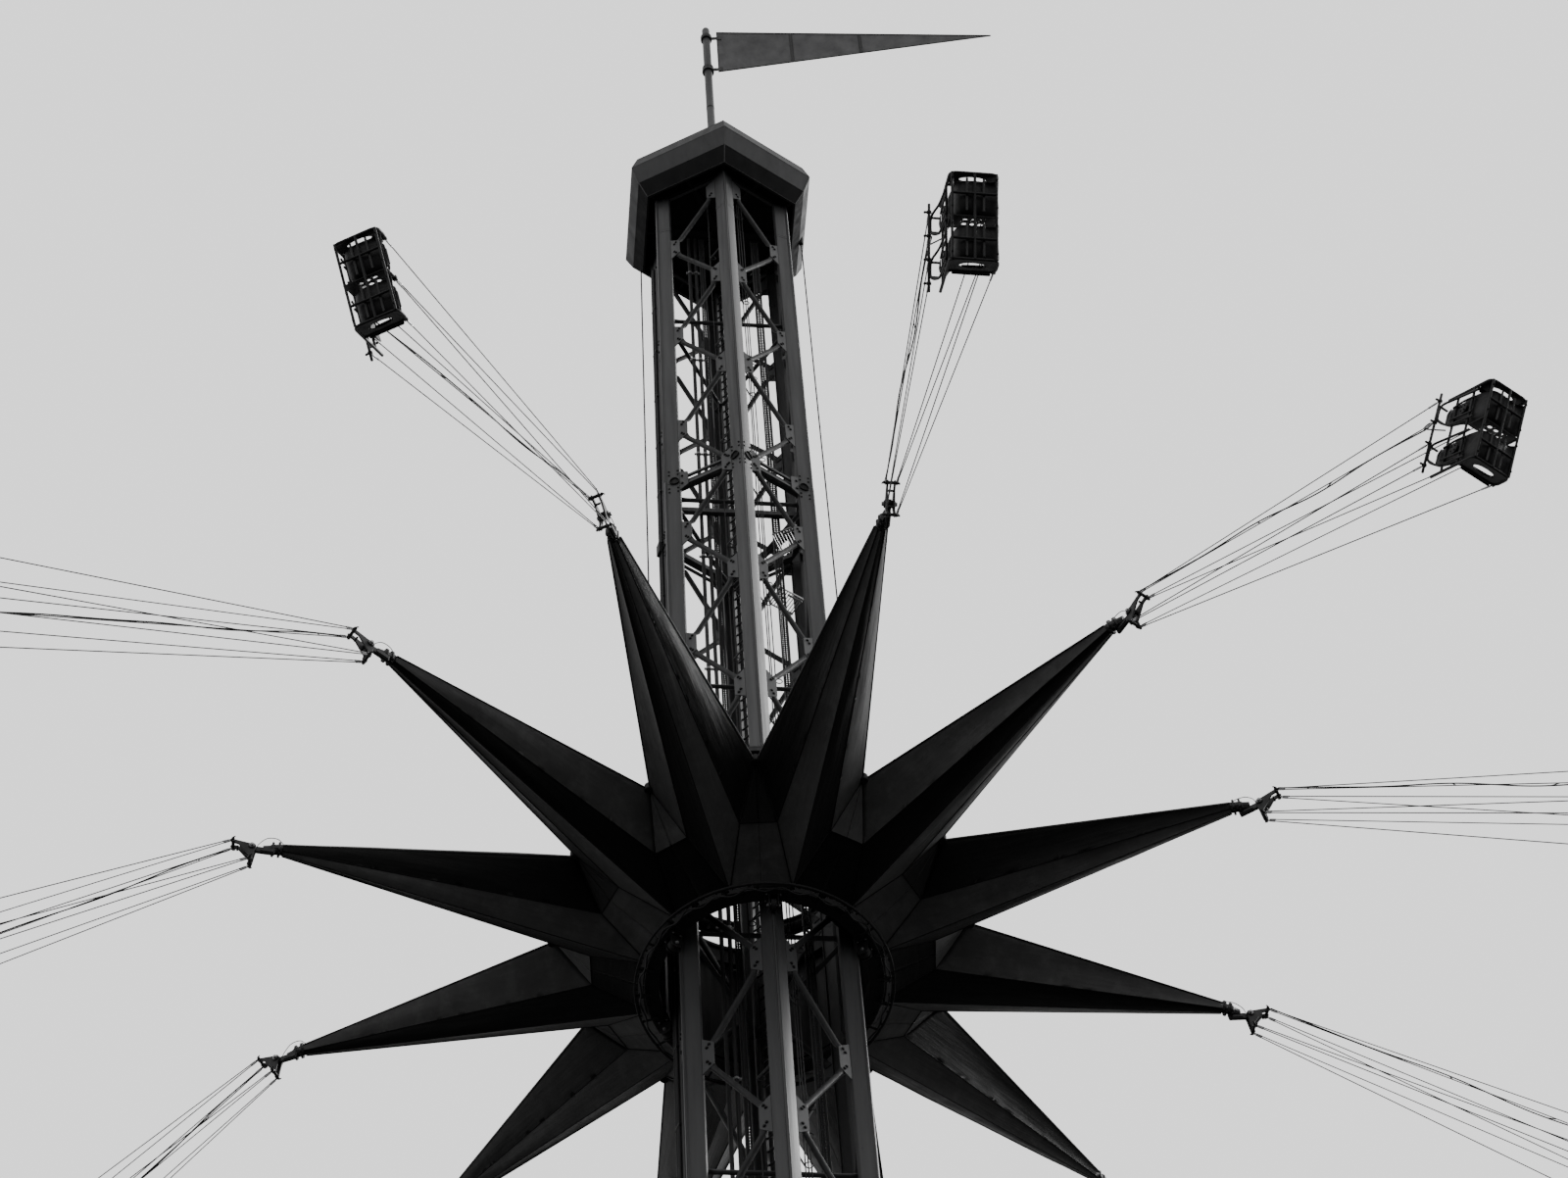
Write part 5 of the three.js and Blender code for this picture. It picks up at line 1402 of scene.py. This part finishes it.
def holed_divider():
    """The plate between the seats, with two rows of three round holes: six square cells with a hole each,
    whose outer loop is the cell's own outline, inside a plain margin."""
    rays = circle(16, pi / 16)
    one = ring_plate(rays / np.abs(rays).max(1, keepdims=True) * 0.024, rays * 0.0155, 0.005)
    cells = one.copies([(x, z, 0) for x in (-0.048, 0.0, 0.048) for z in (-0.024, 0.024)])
    margins = blocks([(0, 0.058, 0.0025), (0, -0.062, 0.0025), (-0.108, -0.002, 0.0025), (0.108, -0.002, 0.0025)],
                     [(0.144, 0.02, 0.005), (0.144, 0.028, 0.005), (0.072, 0.148, 0.005), (0.072, 0.148, 0.005)],
                     0.0006)
    return join(cells, margins)


def chair_frame():
    """The steel of one chair: side loops, base tubes and ribs, side panels, the divider, the back hoops, the
    back rail with its hooks, the lap bars, and the brackets of the front cables."""
    parts = []
    for x in (-0.29, 0.29):
        path = bend([(x, -0.146, 0.296), (x, -0.146, -0.108), (x, 0.14, -0.108), (x, 0.14, 0.03),
                     (x, -0.146, 0.036)], 0.045, 7)
        parts.append(tube(path, 0.0098, 10, (1, 0, 0)))
    base = [((-0.29, y, -0.112), (0.29, y, -0.112)) for y in (-0.135, 0.0, 0.13)]
    base += [((x, -0.135, -0.112), (x, 0.13, -0.112)) for x in (-0.152, 0.152)]
    base += [((-0.29, -0.146, z), (0.29, -0.146, z)) for z in (0.05, 0.2)]
    parts.append(rods([b[0] for b in base], [b[1] for b in base], 0.0085, 10))
    panel = side_panel()
    parts += [panel.placed((x, -0.003, -0.036), SIDEWAYS) for x in (-0.2925, 0.2875)]
    parts.append(holed_divider().placed((-0.0025, -0.003, -0.036), SIDEWAYS))
    ribs = [(s * SEAT_X, y, -0.1005) for s in (-1, 1) for y in (-0.045, 0.055)]
    parts.append(blocks(ribs, (0.222, 0.014, 0.006), 0.0015, coat=2))
    for s in (-1, 1):
        x = s * SEAT_X
        hoop_path = bend([(x - 0.1, -0.152, 0.000), (x - 0.1, -0.166, 0.215), (x - 0.062, -0.206, 0.288),
                          (x + 0.062, -0.206, 0.288), (x + 0.1, -0.166, 0.215), (x + 0.1, -0.152, 0.000)], 0.04, 6)
        parts.append(tube(hoop_path, 0.0078, 8, (0, 1, 0.1)))
        lap = bend([(x - 0.108, -0.06, 0.03), (x - 0.108, 0.085, 0.02), (x - 0.09, 0.118, 0.016),
                    (x + 0.09, 0.118, 0.016), (x + 0.108, 0.085, 0.02), (x + 0.108, -0.06, 0.03)], 0.02, 4)
        parts.append(tube(lap, 0.0085, 8, (0, 0, 1)))
        parts.append(blocks([(x, 0.118, 0.016)], (0.12, 0.026, 0.024), 0.008, coat=3))
    parts.append(rods([(-0.3, -0.215, 0.291)], [(0.3, -0.215, 0.291)], 0.009, 12,
                      stations=((0, 0, 0.8, 0.8, 0), (0, 0.003, 1, 1, 0), (1, -0.003, 1, 1, 0), (1, 0, 0.8, 0.8, 0))))
    stubs = [(s * SEAT_X + dx, -0.18, 0.286) for s in (-1, 1) for dx in (-0.05, 0.05)]
    parts.append(blocks(stubs, (0.01, 0.068, 0.016), 0.002))
    parts.append(hook_row())
    for x in (-0.288, 0.288):
        knee = (x, 0.13, 0.034)
        feet = [(x, 0.06, -0.02), (x, 0.143, -0.075)]
        parts.append(rods([knee] * 2, feet, 0.005, 8))
        parts.append(blocks([knee], (0.018, 0.026, 0.022)))
    parts.append(rods([(0, 0.13, 0.034)] * 2, [(0, 0.07, -0.02), (0, 0.13, -0.105)], 0.006, 8))
    parts.append(blocks([(0, 0.13, 0.03)], (0.03, 0.028, 0.024)))
    parts.append(blocks([(x, -0.002, 0.046) for x in (-0.29, 0.29)], (0.034, 0.23, 0.014), 0.005, coat=3))
    corner_bolts = [(x, y, -0.121) for x in (-0.25, -0.06, 0.06, 0.25) for y in (-0.135, 0.13)]
    parts.append(bolts(corner_bolts, [0, 0, -1], 0.006))
    return join(*parts)


HOOK_X = (np.arange(4) - 1.5) * 0.162
FRONT_X = np.array([-0.288, -0.006, 0.006, 0.288])
YOKE_X = np.array([-0.126, -0.114, 0.114, 0.126])
BAR_LEVEL = -0.085


def cable_ends():
    """Both ends of the eight cables in the chair's frame: four to the hooks and four to the front."""
    tops = np.concatenate([spots(YOKE_X, y, BAR_LEVEL) for y in (-0.038, 0.038)])
    hooks = spots(HOOK_X, -0.215, SEAT_LEVEL + 0.3)
    fronts = spots(FRONT_X, 0.13, SEAT_LEVEL + 0.034)
    return tops, np.concatenate([hooks, fronts])


def hook_row():
    """Forged hooks on the back rail: a short arm back from the rail that swells into a rounded end."""
    start = spots(HOOK_X, -0.208, 0.286)
    stop = start + (0, -0.04, 0.01)
    grow = ((0, 0, 1.1, 1.1, 0), (0.45, 0, 0.8, 0.8, 0), (0.6, 0, 1.3, 1.3, 0), (0.85, 0, 1.5, 1.5, 0),
            (1, 0, 0.7, 0.7, 0))
    hooks = rods(start, stop, 0.0055, 8, stations=grow)
    eye = band(0.01, 0.016, -0.006, 0.006, 14)
    eyes = eye.copies(spots(HOOK_X, -0.215, 0.291), SIDEWAYS)
    return join(hooks, eyes)


def chair_cables():
    """The eight cables of one chair, straight between their ends, with a ferrule and thimble at the top and a
    turnbuckle at the foot, and the lead that follows the third hook's cable in long waves."""
    tops, feet = cable_ends()
    down = unit(feet - tops)
    lines = rods(tops + down * 0.01, feet - down * 0.02, 0.0038, 8)
    ferrules = rods(tops + down * 0.03, tops + down * 0.075, 0.0062, 8, coat=1)
    lower = rods(feet - down * 0.085, feet - down * 0.02, 0.0068, 8, coat=1,
                 stations=((0, 0, 0.7, 0.7, 0), (0, 0.01, 1, 1, 0), (1, -0.01, 1, 1, 0), (1, 0, 0.75, 0.75, 0)))
    nuts = rods(feet - down * 0.105, feet - down * 0.088, 0.0066, 6, coat=1)
    eye = band(0.006, 0.0115, -0.003, 0.003, 12, 1)
    eyes = join(eye.copies(tops, UPRIGHT), eye.copies(feet, UPRIGHT))
    t = np.linspace(0, 1, 90)[:, None]
    top, foot = tops[2] + (0.014, -0.006, -0.02), feet[2] + (-0.004, 0.016, 0.1)
    sway = spots(0.01 * np.sin(t[:, 0] * 17), 0.012 * np.sin(t[:, 0] * 11 + 0.6), 0)
    lead = top * (1 - t) + foot * t + sway * np.sin(pi * t) ** 0.5
    tail = np.array([foot + (0.03, 0.008, -0.045), foot + (0.052, 0.012, -0.01), foot + (0.03, 0.01, 0.03),
                     foot + (-0.006, 0.02, -0.05), foot + (-0.02, 0.06, -0.13)])
    path = np.concatenate([lead, curve(np.concatenate([lead[-2:], tail]), 40)[8:]])
    lead = tube(path, 0.0048, 8, (1, 0, 0), coat=2)
    ties = np.linspace(0.08, 0.92, 8)
    knots = lead.points.reshape(-1, 8, 3).mean(1)[(ties * 89).astype(int)]
    cable = (tops[2] + (feet[2] - tops[2]) * ties[:, None])
    clips = rods(knots, cable, 0.0035, 6, coat=2)
    return join(lines, ferrules, lower, nuts, eyes, lead, clips)


def yoke():
    """The yoke of one chair: two forked plates on the pin, drawn as a triangle with a round top and an opening,
    a crossbar with rounded ends at each side, spacers between the plates, and the pin with its nuts."""
    outline = [(-0.136, BAR_LEVEL - 0.016), (-0.108, BAR_LEVEL - 0.016), (-0.072, -0.07), (0.072, -0.07),
               (0.108, BAR_LEVEL - 0.016), (0.136, BAR_LEVEL - 0.016), (0.136, BAR_LEVEL + 0.01), (0.03, 0.012),
               (0.014, 0.028), (-0.014, 0.028), (-0.03, 0.012), (-0.136, BAR_LEVEL + 0.01)]
    corner = [0.006, 0.006, 0.012, 0.012, 0.006, 0.006, 0.01, 0.016, 0.014, 0.014, 0.016, 0.01]
    cheek = plate(rounded(outline, corner, 4), 0.012, 0.002)
    parts = [cheek.placed((0, 0.031, 0), UPRIGHT), cheek.placed((0, -0.019, 0), UPRIGHT)]
    boss = band(0.0142, 0.027, -0.0035, 0.0035)
    parts += [boss.placed((0, y, 0), UPRIGHT) for y in (-0.034, 0.034, 0.0158, -0.0158)]
    pin = rods([(0, -0.04, 0)], [(0, 0.04, 0)], 0.0138, 20, coat=1)
    nuts = bolts([(0, 0.038, 0), (0, -0.038, 0)], [(0, 1, 0), (0, -1, 0)], 0.016)
    parts += [pin, nuts]
    ends = ((0, 0, 0.5, 0.5, 0), (0, 0.004, 0.9, 0.9, 0), (0, 0.01, 1, 1, 0), (1, -0.01, 1, 1, 0),
            (1, -0.004, 0.9, 0.9, 0), (1, 0, 0.5, 0.5, 0))
    bars = rods(spots(0.12 * BOTH, -0.056, BAR_LEVEL), spots(0.12 * BOTH, 0.056, BAR_LEVEL),
                0.012, 12, stations=ends)
    curls = [bend([(s * 0.12, y, BAR_LEVEL), (s * 0.12, y * 1.16, BAR_LEVEL - 0.002),
                   (s * 0.12, y * 1.2, BAR_LEVEL + 0.018)], 0.006, 4) for s in (-1, 1) for y in (-0.05, 0.05)]
    parts += [bars] + [tube(c, 0.005, 6, (1, 0, 0)) for c in curls]
    spacers = rods([(x, -0.02, -0.083) for x in (-0.06, 0.06)], [(x, 0.02, -0.083) for x in (-0.06, 0.06)], 0.008, 10)
    parts.append(spacers)
    return join(*parts)


def chair_axes(heading):
    """Where a chair hangs: its pin, and its axes across, forwards and up along the cables."""
    across, forward, up = spoke(heading - LAG)
    lean = np.array([across * cos(SWING) + up * sin(SWING), forward, up * cos(SWING) - across * sin(SWING)])
    pin = spoke(heading)[0] * PIN_CIRCLE + (0, 0, PIN_LEVEL)
    return pin, lean


paint_colour = partial(FloatVectorProperty, subtype="COLOR", size=3, min=0, max=1)


class RideColours(PropertyGroup):
    """Colours of the ride's finishes."""
    tower: paint_colour(name="Tower paint", description="Paint of the columns and the bracing",
                        default=(0.07, 0.071, 0.073))
    cap: paint_colour(name="Cap panels", description="Paint of the cap at the tower's top",
                      default=(0.14, 0.141, 0.143))
    machine: paint_colour(name="Machine paint", description="Paint of the carriage, hub and yokes",
                          default=(0.022, 0.022, 0.023))
    steel: paint_colour(name="Steel", description="Colour of bare and galvanised steel",
                        default=(0.48, 0.48, 0.485))
    cloth: paint_colour(name="Dark fabric", description="Darker colour of the star's covers",
                        default=(0.009, 0.009, 0.009))
    cloth_pale: paint_colour(name="Pale fabric", description="Lighter colour of the star's covers",
                             default=(0.125, 0.125, 0.125))
    seat: paint_colour(name="Seats", description="Colour of the moulded seats and their frames",
                       default=(0.012, 0.012, 0.013))
    vane: paint_colour(name="Vane", description="Paint of the vane's panels",
                       default=(0.09, 0.09, 0.093))


class RideStage(PropertyGroup):
    """Camera, light and floor."""
    camera_turn: FloatProperty(name="Camera heading", description="Where the camera stands round the tower",
                               subtype="ANGLE", default=radians(-7.11))
    camera_distance: FloatProperty(name="Camera distance", description="From the tower's axis, on the ground",
                                   unit="LENGTH", default=17.0, min=5)
    camera_height: FloatProperty(name="Camera height", description="Above the ground", unit="LENGTH", default=0.8)
    pitch: FloatProperty(name="Pitch", description="How far the camera looks up", subtype="ANGLE",
                         default=1.00664)
    yaw: FloatProperty(name="Yaw", description="How far the camera looks to the right of the axis",
                       subtype="ANGLE", default=0.02126)
    roll: FloatProperty(name="Roll", description="How far the camera leans", subtype="ANGLE", default=-0.079734)
    lens: FloatProperty(name="Lens", description="Focal length on a 36 mm wide sensor, in millimetres",
                        default=88.347, min=1)
    backdrop: FloatProperty(name="Backdrop", description="Brightness of the backdrop", default=1.5, min=0)
    sky: FloatProperty(name="Sky light", description="Light from above the horizon", default=0.6, min=0)
    ground: FloatProperty(name="Ground light", description="Light from below, as a share of the sky's",
                          default=0.05, min=0, max=1)
    key: FloatProperty(name="Key light", description="Wide soft light from the right", default=2.2, min=0)


def camera_matrix(stage):
    """The camera's place on the ground, and its axes: it faces the tower's axis, turned by the yaw, tipped up
    by the pitch and then rolled about its own line of sight."""
    h = stage.camera_turn
    place = np.array([sin(h), -cos(h), 0]) * stage.camera_distance + (0, 0, stage.camera_height)
    ahead, right = np.array([-sin(h), cos(h), 0]), np.array([cos(h), sin(h), 0])
    ahead, right = (ahead * cos(stage.yaw) + right * sin(stage.yaw), right * cos(stage.yaw) - ahead * sin(stage.yaw))
    sight = ahead * cos(stage.pitch) + (0, 0, sin(stage.pitch))
    up = np.cross(right, sight)
    c, s = cos(stage.roll), sin(stage.roll)
    axes = np.array([c * right + s * up, -s * right + c * up, -sight])
    matrix = np.eye(4)
    matrix[:3, :3], matrix[:3, 3] = axes.T, place
    return Matrix(matrix.tolist())


def studio_world(stage):
    """Pale surroundings: an even backdrop, and light that falls off below the horizon so that undersides stay
    dark against it."""
    world = bpy.data.worlds.new("studio")
    world.use_nodes = True
    tree = world.node_tree
    backdrop = tree.nodes["Background"]
    backdrop.inputs["Color"].default_value = (1, 1.0, 1.0, 1)
    backdrop.inputs["Strength"].default_value = stage.backdrop
    direction = node(tree, "ShaderNodeTexCoord").outputs["Generated"]
    height = node(tree, "ShaderNodeSeparateXYZ", {"Vector": direction}).outputs["Z"]
    share = node(tree, "ShaderNodeMapRange", {"Value": height, "From Min": -1.0, "From Max": 1.0}).outputs["Result"]
    falling = ramp(tree, share, [(0.2, stage.ground), (0.34, 0.12), (0.46, 0.5), (0.54, 1.0)])
    below = node(tree, "ShaderNodeBackground", {"Color": falling, "Strength": stage.sky})
    rays = node(tree, "ShaderNodeLightPath").outputs["Is Camera Ray"]
    chosen = node(tree, "ShaderNodeMixShader", {"Fac": rays})
    tree.links.new(below.outputs[0], chosen.inputs[1])
    tree.links.new(backdrop.outputs[0], chosen.inputs[2])
    tree.links.new(chosen.outputs[0], tree.nodes["World Output"].inputs["Surface"])
    return world


class RIDE_OT_stage(Operator):
    """Camera at the photograph's view, pale floor and surroundings, and two wide soft lights"""
    bl_idname = "ride.stage"
    bl_label = "Camera, light and floor"

    def execute(self, context):
        scene, stage = context.scene, context.scene.ride_stage
        camera = bpy.data.cameras.new("camera")
        camera.lens, camera.sensor_width, camera.clip_end = stage.lens, 36.0, 400.0
        eye = bpy.data.objects.new("camera", camera)
        eye.matrix_world = camera_matrix(stage)
        scene.collection.objects.link(eye)
        scene.camera = eye
        scene.world = studio_world(stage)
        for name, turn, lift, power in (("key light", 105, 42, stage.key), ("fill light", -95, -6, stage.key * 0.04)):
            light = bpy.data.lights.new(name, "SUN")
            light.energy, light.angle = power, radians(30)
            lamp = bpy.data.objects.new(name, light)
            towards = spoke(turn)[0] * cos(radians(lift)) + (0, 0, sin(radians(lift)))
            lamp.matrix_world = Matrix(frame_of(towards).T.tolist()).to_4x4()
            scene.collection.objects.link(lamp)
        ground = spin([(70.0, -0.011), (70.0, -0.001)], 96)
        floor = make("floor", ground, "root", "floor")
        floor.visible_diffuse = floor.visible_glossy = False
        return {"FINISHED"}


class RIDE_OT_tower(Operator):
    """Columns, bracing, inner frames and base of the tower"""
    bl_idname = "ride.tower"
    bl_label = "Tower"

    def execute(self, context):
        finish_solid("base_frame", "concrete")
        for number in (1, 2, 3):
            finish_solid(f"inner_ring_{number}", "bracing")
        for i, heading in enumerate(CORNER_HEADINGS):
            make(f"column_{i + 1}", tower_column(heading), "root", "tower pocket bolt rail",
                 [f"tower_column_{i + 1}"])
            make(f"bracing_{i + 1}", bracing_face(i), "root", "bracing bolt tube",
                 [f"bracing_panel_{i + 1}"])
        for name, form, finishes in (("inner_tubes", cross_tubes(), "bracing bolt"),
                                     ("ring_cleats", ring_hardware(), "bracing bolt"),
                                     ("column_feet", base_details(), "concrete bolt")):
            make(name, form, "root", finishes)
        return {"FINISHED"}


class RIDE_OT_services(Operator):
    """Ladder, pipes, cable trays and gratings inside the tower"""
    bl_idname = "ride.services"
    bl_label = "Ladder and services"

    def execute(self, context):
        make("ladder_rungs", ladder(), "root", "tube bolt", ["ladder"])
        for i, x in enumerate((-0.3, -0.24)):
            make(f"pipe_{i + 1}", service_pipe(x), "root", "machine steel",
                 [f"service_pipe_{i + 1}"])
        for i, (x, width) in enumerate(((0.33, 0.07), (-0.18, 0.05))):
            make(f"tray_{i + 1}", cable_tray(x, width), "root", "bracing rubber",
                 [f"cable_tray_{i + 1}"])
        make("service_cables", service_cables(), "root", "rubber bracing")
        make("cable_bundle", cable_bundle(), "root", "rubber machine")
        make("gratings", landing_gratings(), "root", "steel")
        return {"FINISHED"}


class RIDE_OT_cap(Operator):
    """Cap, roof and head frame"""
    bl_idname = "ride.cap"
    bl_label = "Cap"

    def execute(self, context):
        finish_solid("head_frame", "machine")
        make("cap_panels", cap_shell(), "root", "cap cap_joint soffit", ["cap_shell"])
        make("cap_stiffeners", cap_ribs(), "root", "machine")
        make("roof_panels", cap_roof(), "root", "cap cap_joint", ["cap_roof"])
        make("head_bolts", head_details(), "root", "bolt machine")
        make("rope_bushes", rope_guides(), "root", "rubber")
        return {"FINISHED"}


class RIDE_OT_mast(Operator):
    """Mast and vane"""
    bl_idname = "ride.mast"
    bl_label = "Mast and vane"

    def execute(self, context):
        make("mast_tube", mast(), "root", "tower bolt", ["mast"])
        make("vane_blade", vane(), "vane", "vane machine bolt", ["vane"])
        return {"FINISHED"}


class RIDE_OT_carriage(Operator):
    """Carriage, rollers and hoist ropes"""
    bl_idname = "ride.carriage"
    bl_label = "Carriage"

    def execute(self, context):
        for i, heading in enumerate(ROPE_HEADINGS):
            x, y, _ = spoke(heading)[0] * ROPE_CIRCLE
            ends = ((x, y, ROPE_TOP), (x, y, CARRIAGE_TOP))
            make(f"rope_{i + 1}", hoist_rope(heading), None, "rope",
                 [f"hoist_rope_{i + 1}"], blend=("root", "carriage", *ends))
        make("carriage_rings", carriage(), "carriage", "machine bolt", ["carriage_frame"])
        make("carriage_rollers", guide_rollers(), "carriage", "machine steel rubber")
        make("rope_sockets", rope_anchors(), "carriage", "steel bolt")
        make("ring_segments", landing_segments(), "carriage", "plate machine")
        return {"FINISHED"}


class RIDE_OT_star(Operator):
    """Hub, fabric and steel ends of the star"""
    bl_idname = "ride.star"
    bl_label = "Star"

    def execute(self, context):
        make("hub_drum", star_hub(), "star", "machine steel", ["star_hub"])
        make("valley_posts", valley_caps(), "star", "rubber")
        end = join(arm_end(), root_flange())
        for i, heading in enumerate(ARM_HEADINGS):
            number = f"{i + 1:02d}"
            arm = [f"star_arm_{number}"]
            beads = make(f"arm_piping_{number}", arm_piping(i).turned(heading), "star", "piping piping_pale")
            for label, build, width, others in (("under", arm_underside, 1.35, [beads]), ("over", arm_top, 1.25, [])):
                cloth = build(i)
                cover = make(f"cover_{label}_{number}", cloth.turned(heading), "star", "cloth cloth_pale",
                             arm, angle=20, merge=True)
                thick = cover.modifiers.new("cloth thickness", "SOLIDIFY")
                thick.thickness, thick.offset = 0.002, -1.0
            make(f"arm_end_{number}", end.turned(heading), "star", "machine bolt cable", arm)
        return {"FINISHED"}


class RIDE_OT_chairs(Operator):
    """Yokes, cables, frames and moulded seats of the twelve chairs"""
    bl_idname = "ride.chairs"
    bl_label = "Chairs"

    def execute(self, context):
        seat = join(bucket_seat(), seat_backs())
        pieces = [("seats", seat.copies(spots(SEAT_X * BOTH, 0, SEAT_LEVEL)), "seat bolt seat_light"),
                  ("frame", chair_frame().placed((0, 0, SEAT_LEVEL)), "seat_frame bolt seat_light seat"),
                  ("cables", chair_cables(), "cable steel rubber"), ("yoke", yoke(), "machine steel")]
        for i, heading in enumerate(ARM_HEADINGS):
            body = f"chair_{i + 1:02d}"
            for label, form, finishes in pieces:
                make(f"{label}_{i + 1:02d}", form.placed(*chair_axes(heading)), body, finishes, [body])
        return {"FINISHED"}


class RIDE_PT_panel(Panel):
    """Builds the ride piece by piece, and sets its colours and its view"""
    bl_label = "Chair swing ride"
    bl_idname = "RIDE_PT_panel"
    bl_space_type = "VIEW_3D"
    bl_region_type = "UI"
    bl_category = "Ride"

    def draw(self, context):
        for operator in OPERATORS:
            self.layout.operator(operator.bl_idname)
        for group, owner in ((context.scene.ride_colours, RideColours), (context.scene.ride_stage, RideStage)):
            box = self.layout.box()
            for name in owner.__annotations__:
                box.prop(group, name)


OPERATORS = (RIDE_OT_stage, RIDE_OT_tower, RIDE_OT_services, RIDE_OT_cap, RIDE_OT_mast, RIDE_OT_carriage,
             RIDE_OT_star, RIDE_OT_chairs)
CLASSES = (RideColours, RideStage, *OPERATORS, RIDE_PT_panel)


def register():
    for item in CLASSES:
        bpy.utils.register_class(item)
    bpy.types.Scene.ride_colours = PointerProperty(type=RideColours)
    bpy.types.Scene.ride_stage = PointerProperty(type=RideStage)


def unregister():
    del bpy.types.Scene.ride_stage
    del bpy.types.Scene.ride_colours
    for item in reversed(CLASSES):
        bpy.utils.unregister_class(item)


def main():
    register()
    for operator in OPERATORS:
        group, name = operator.bl_idname.split(".")
        getattr(getattr(bpy.ops, group), name)()


if __name__ == "__main__":
    main()
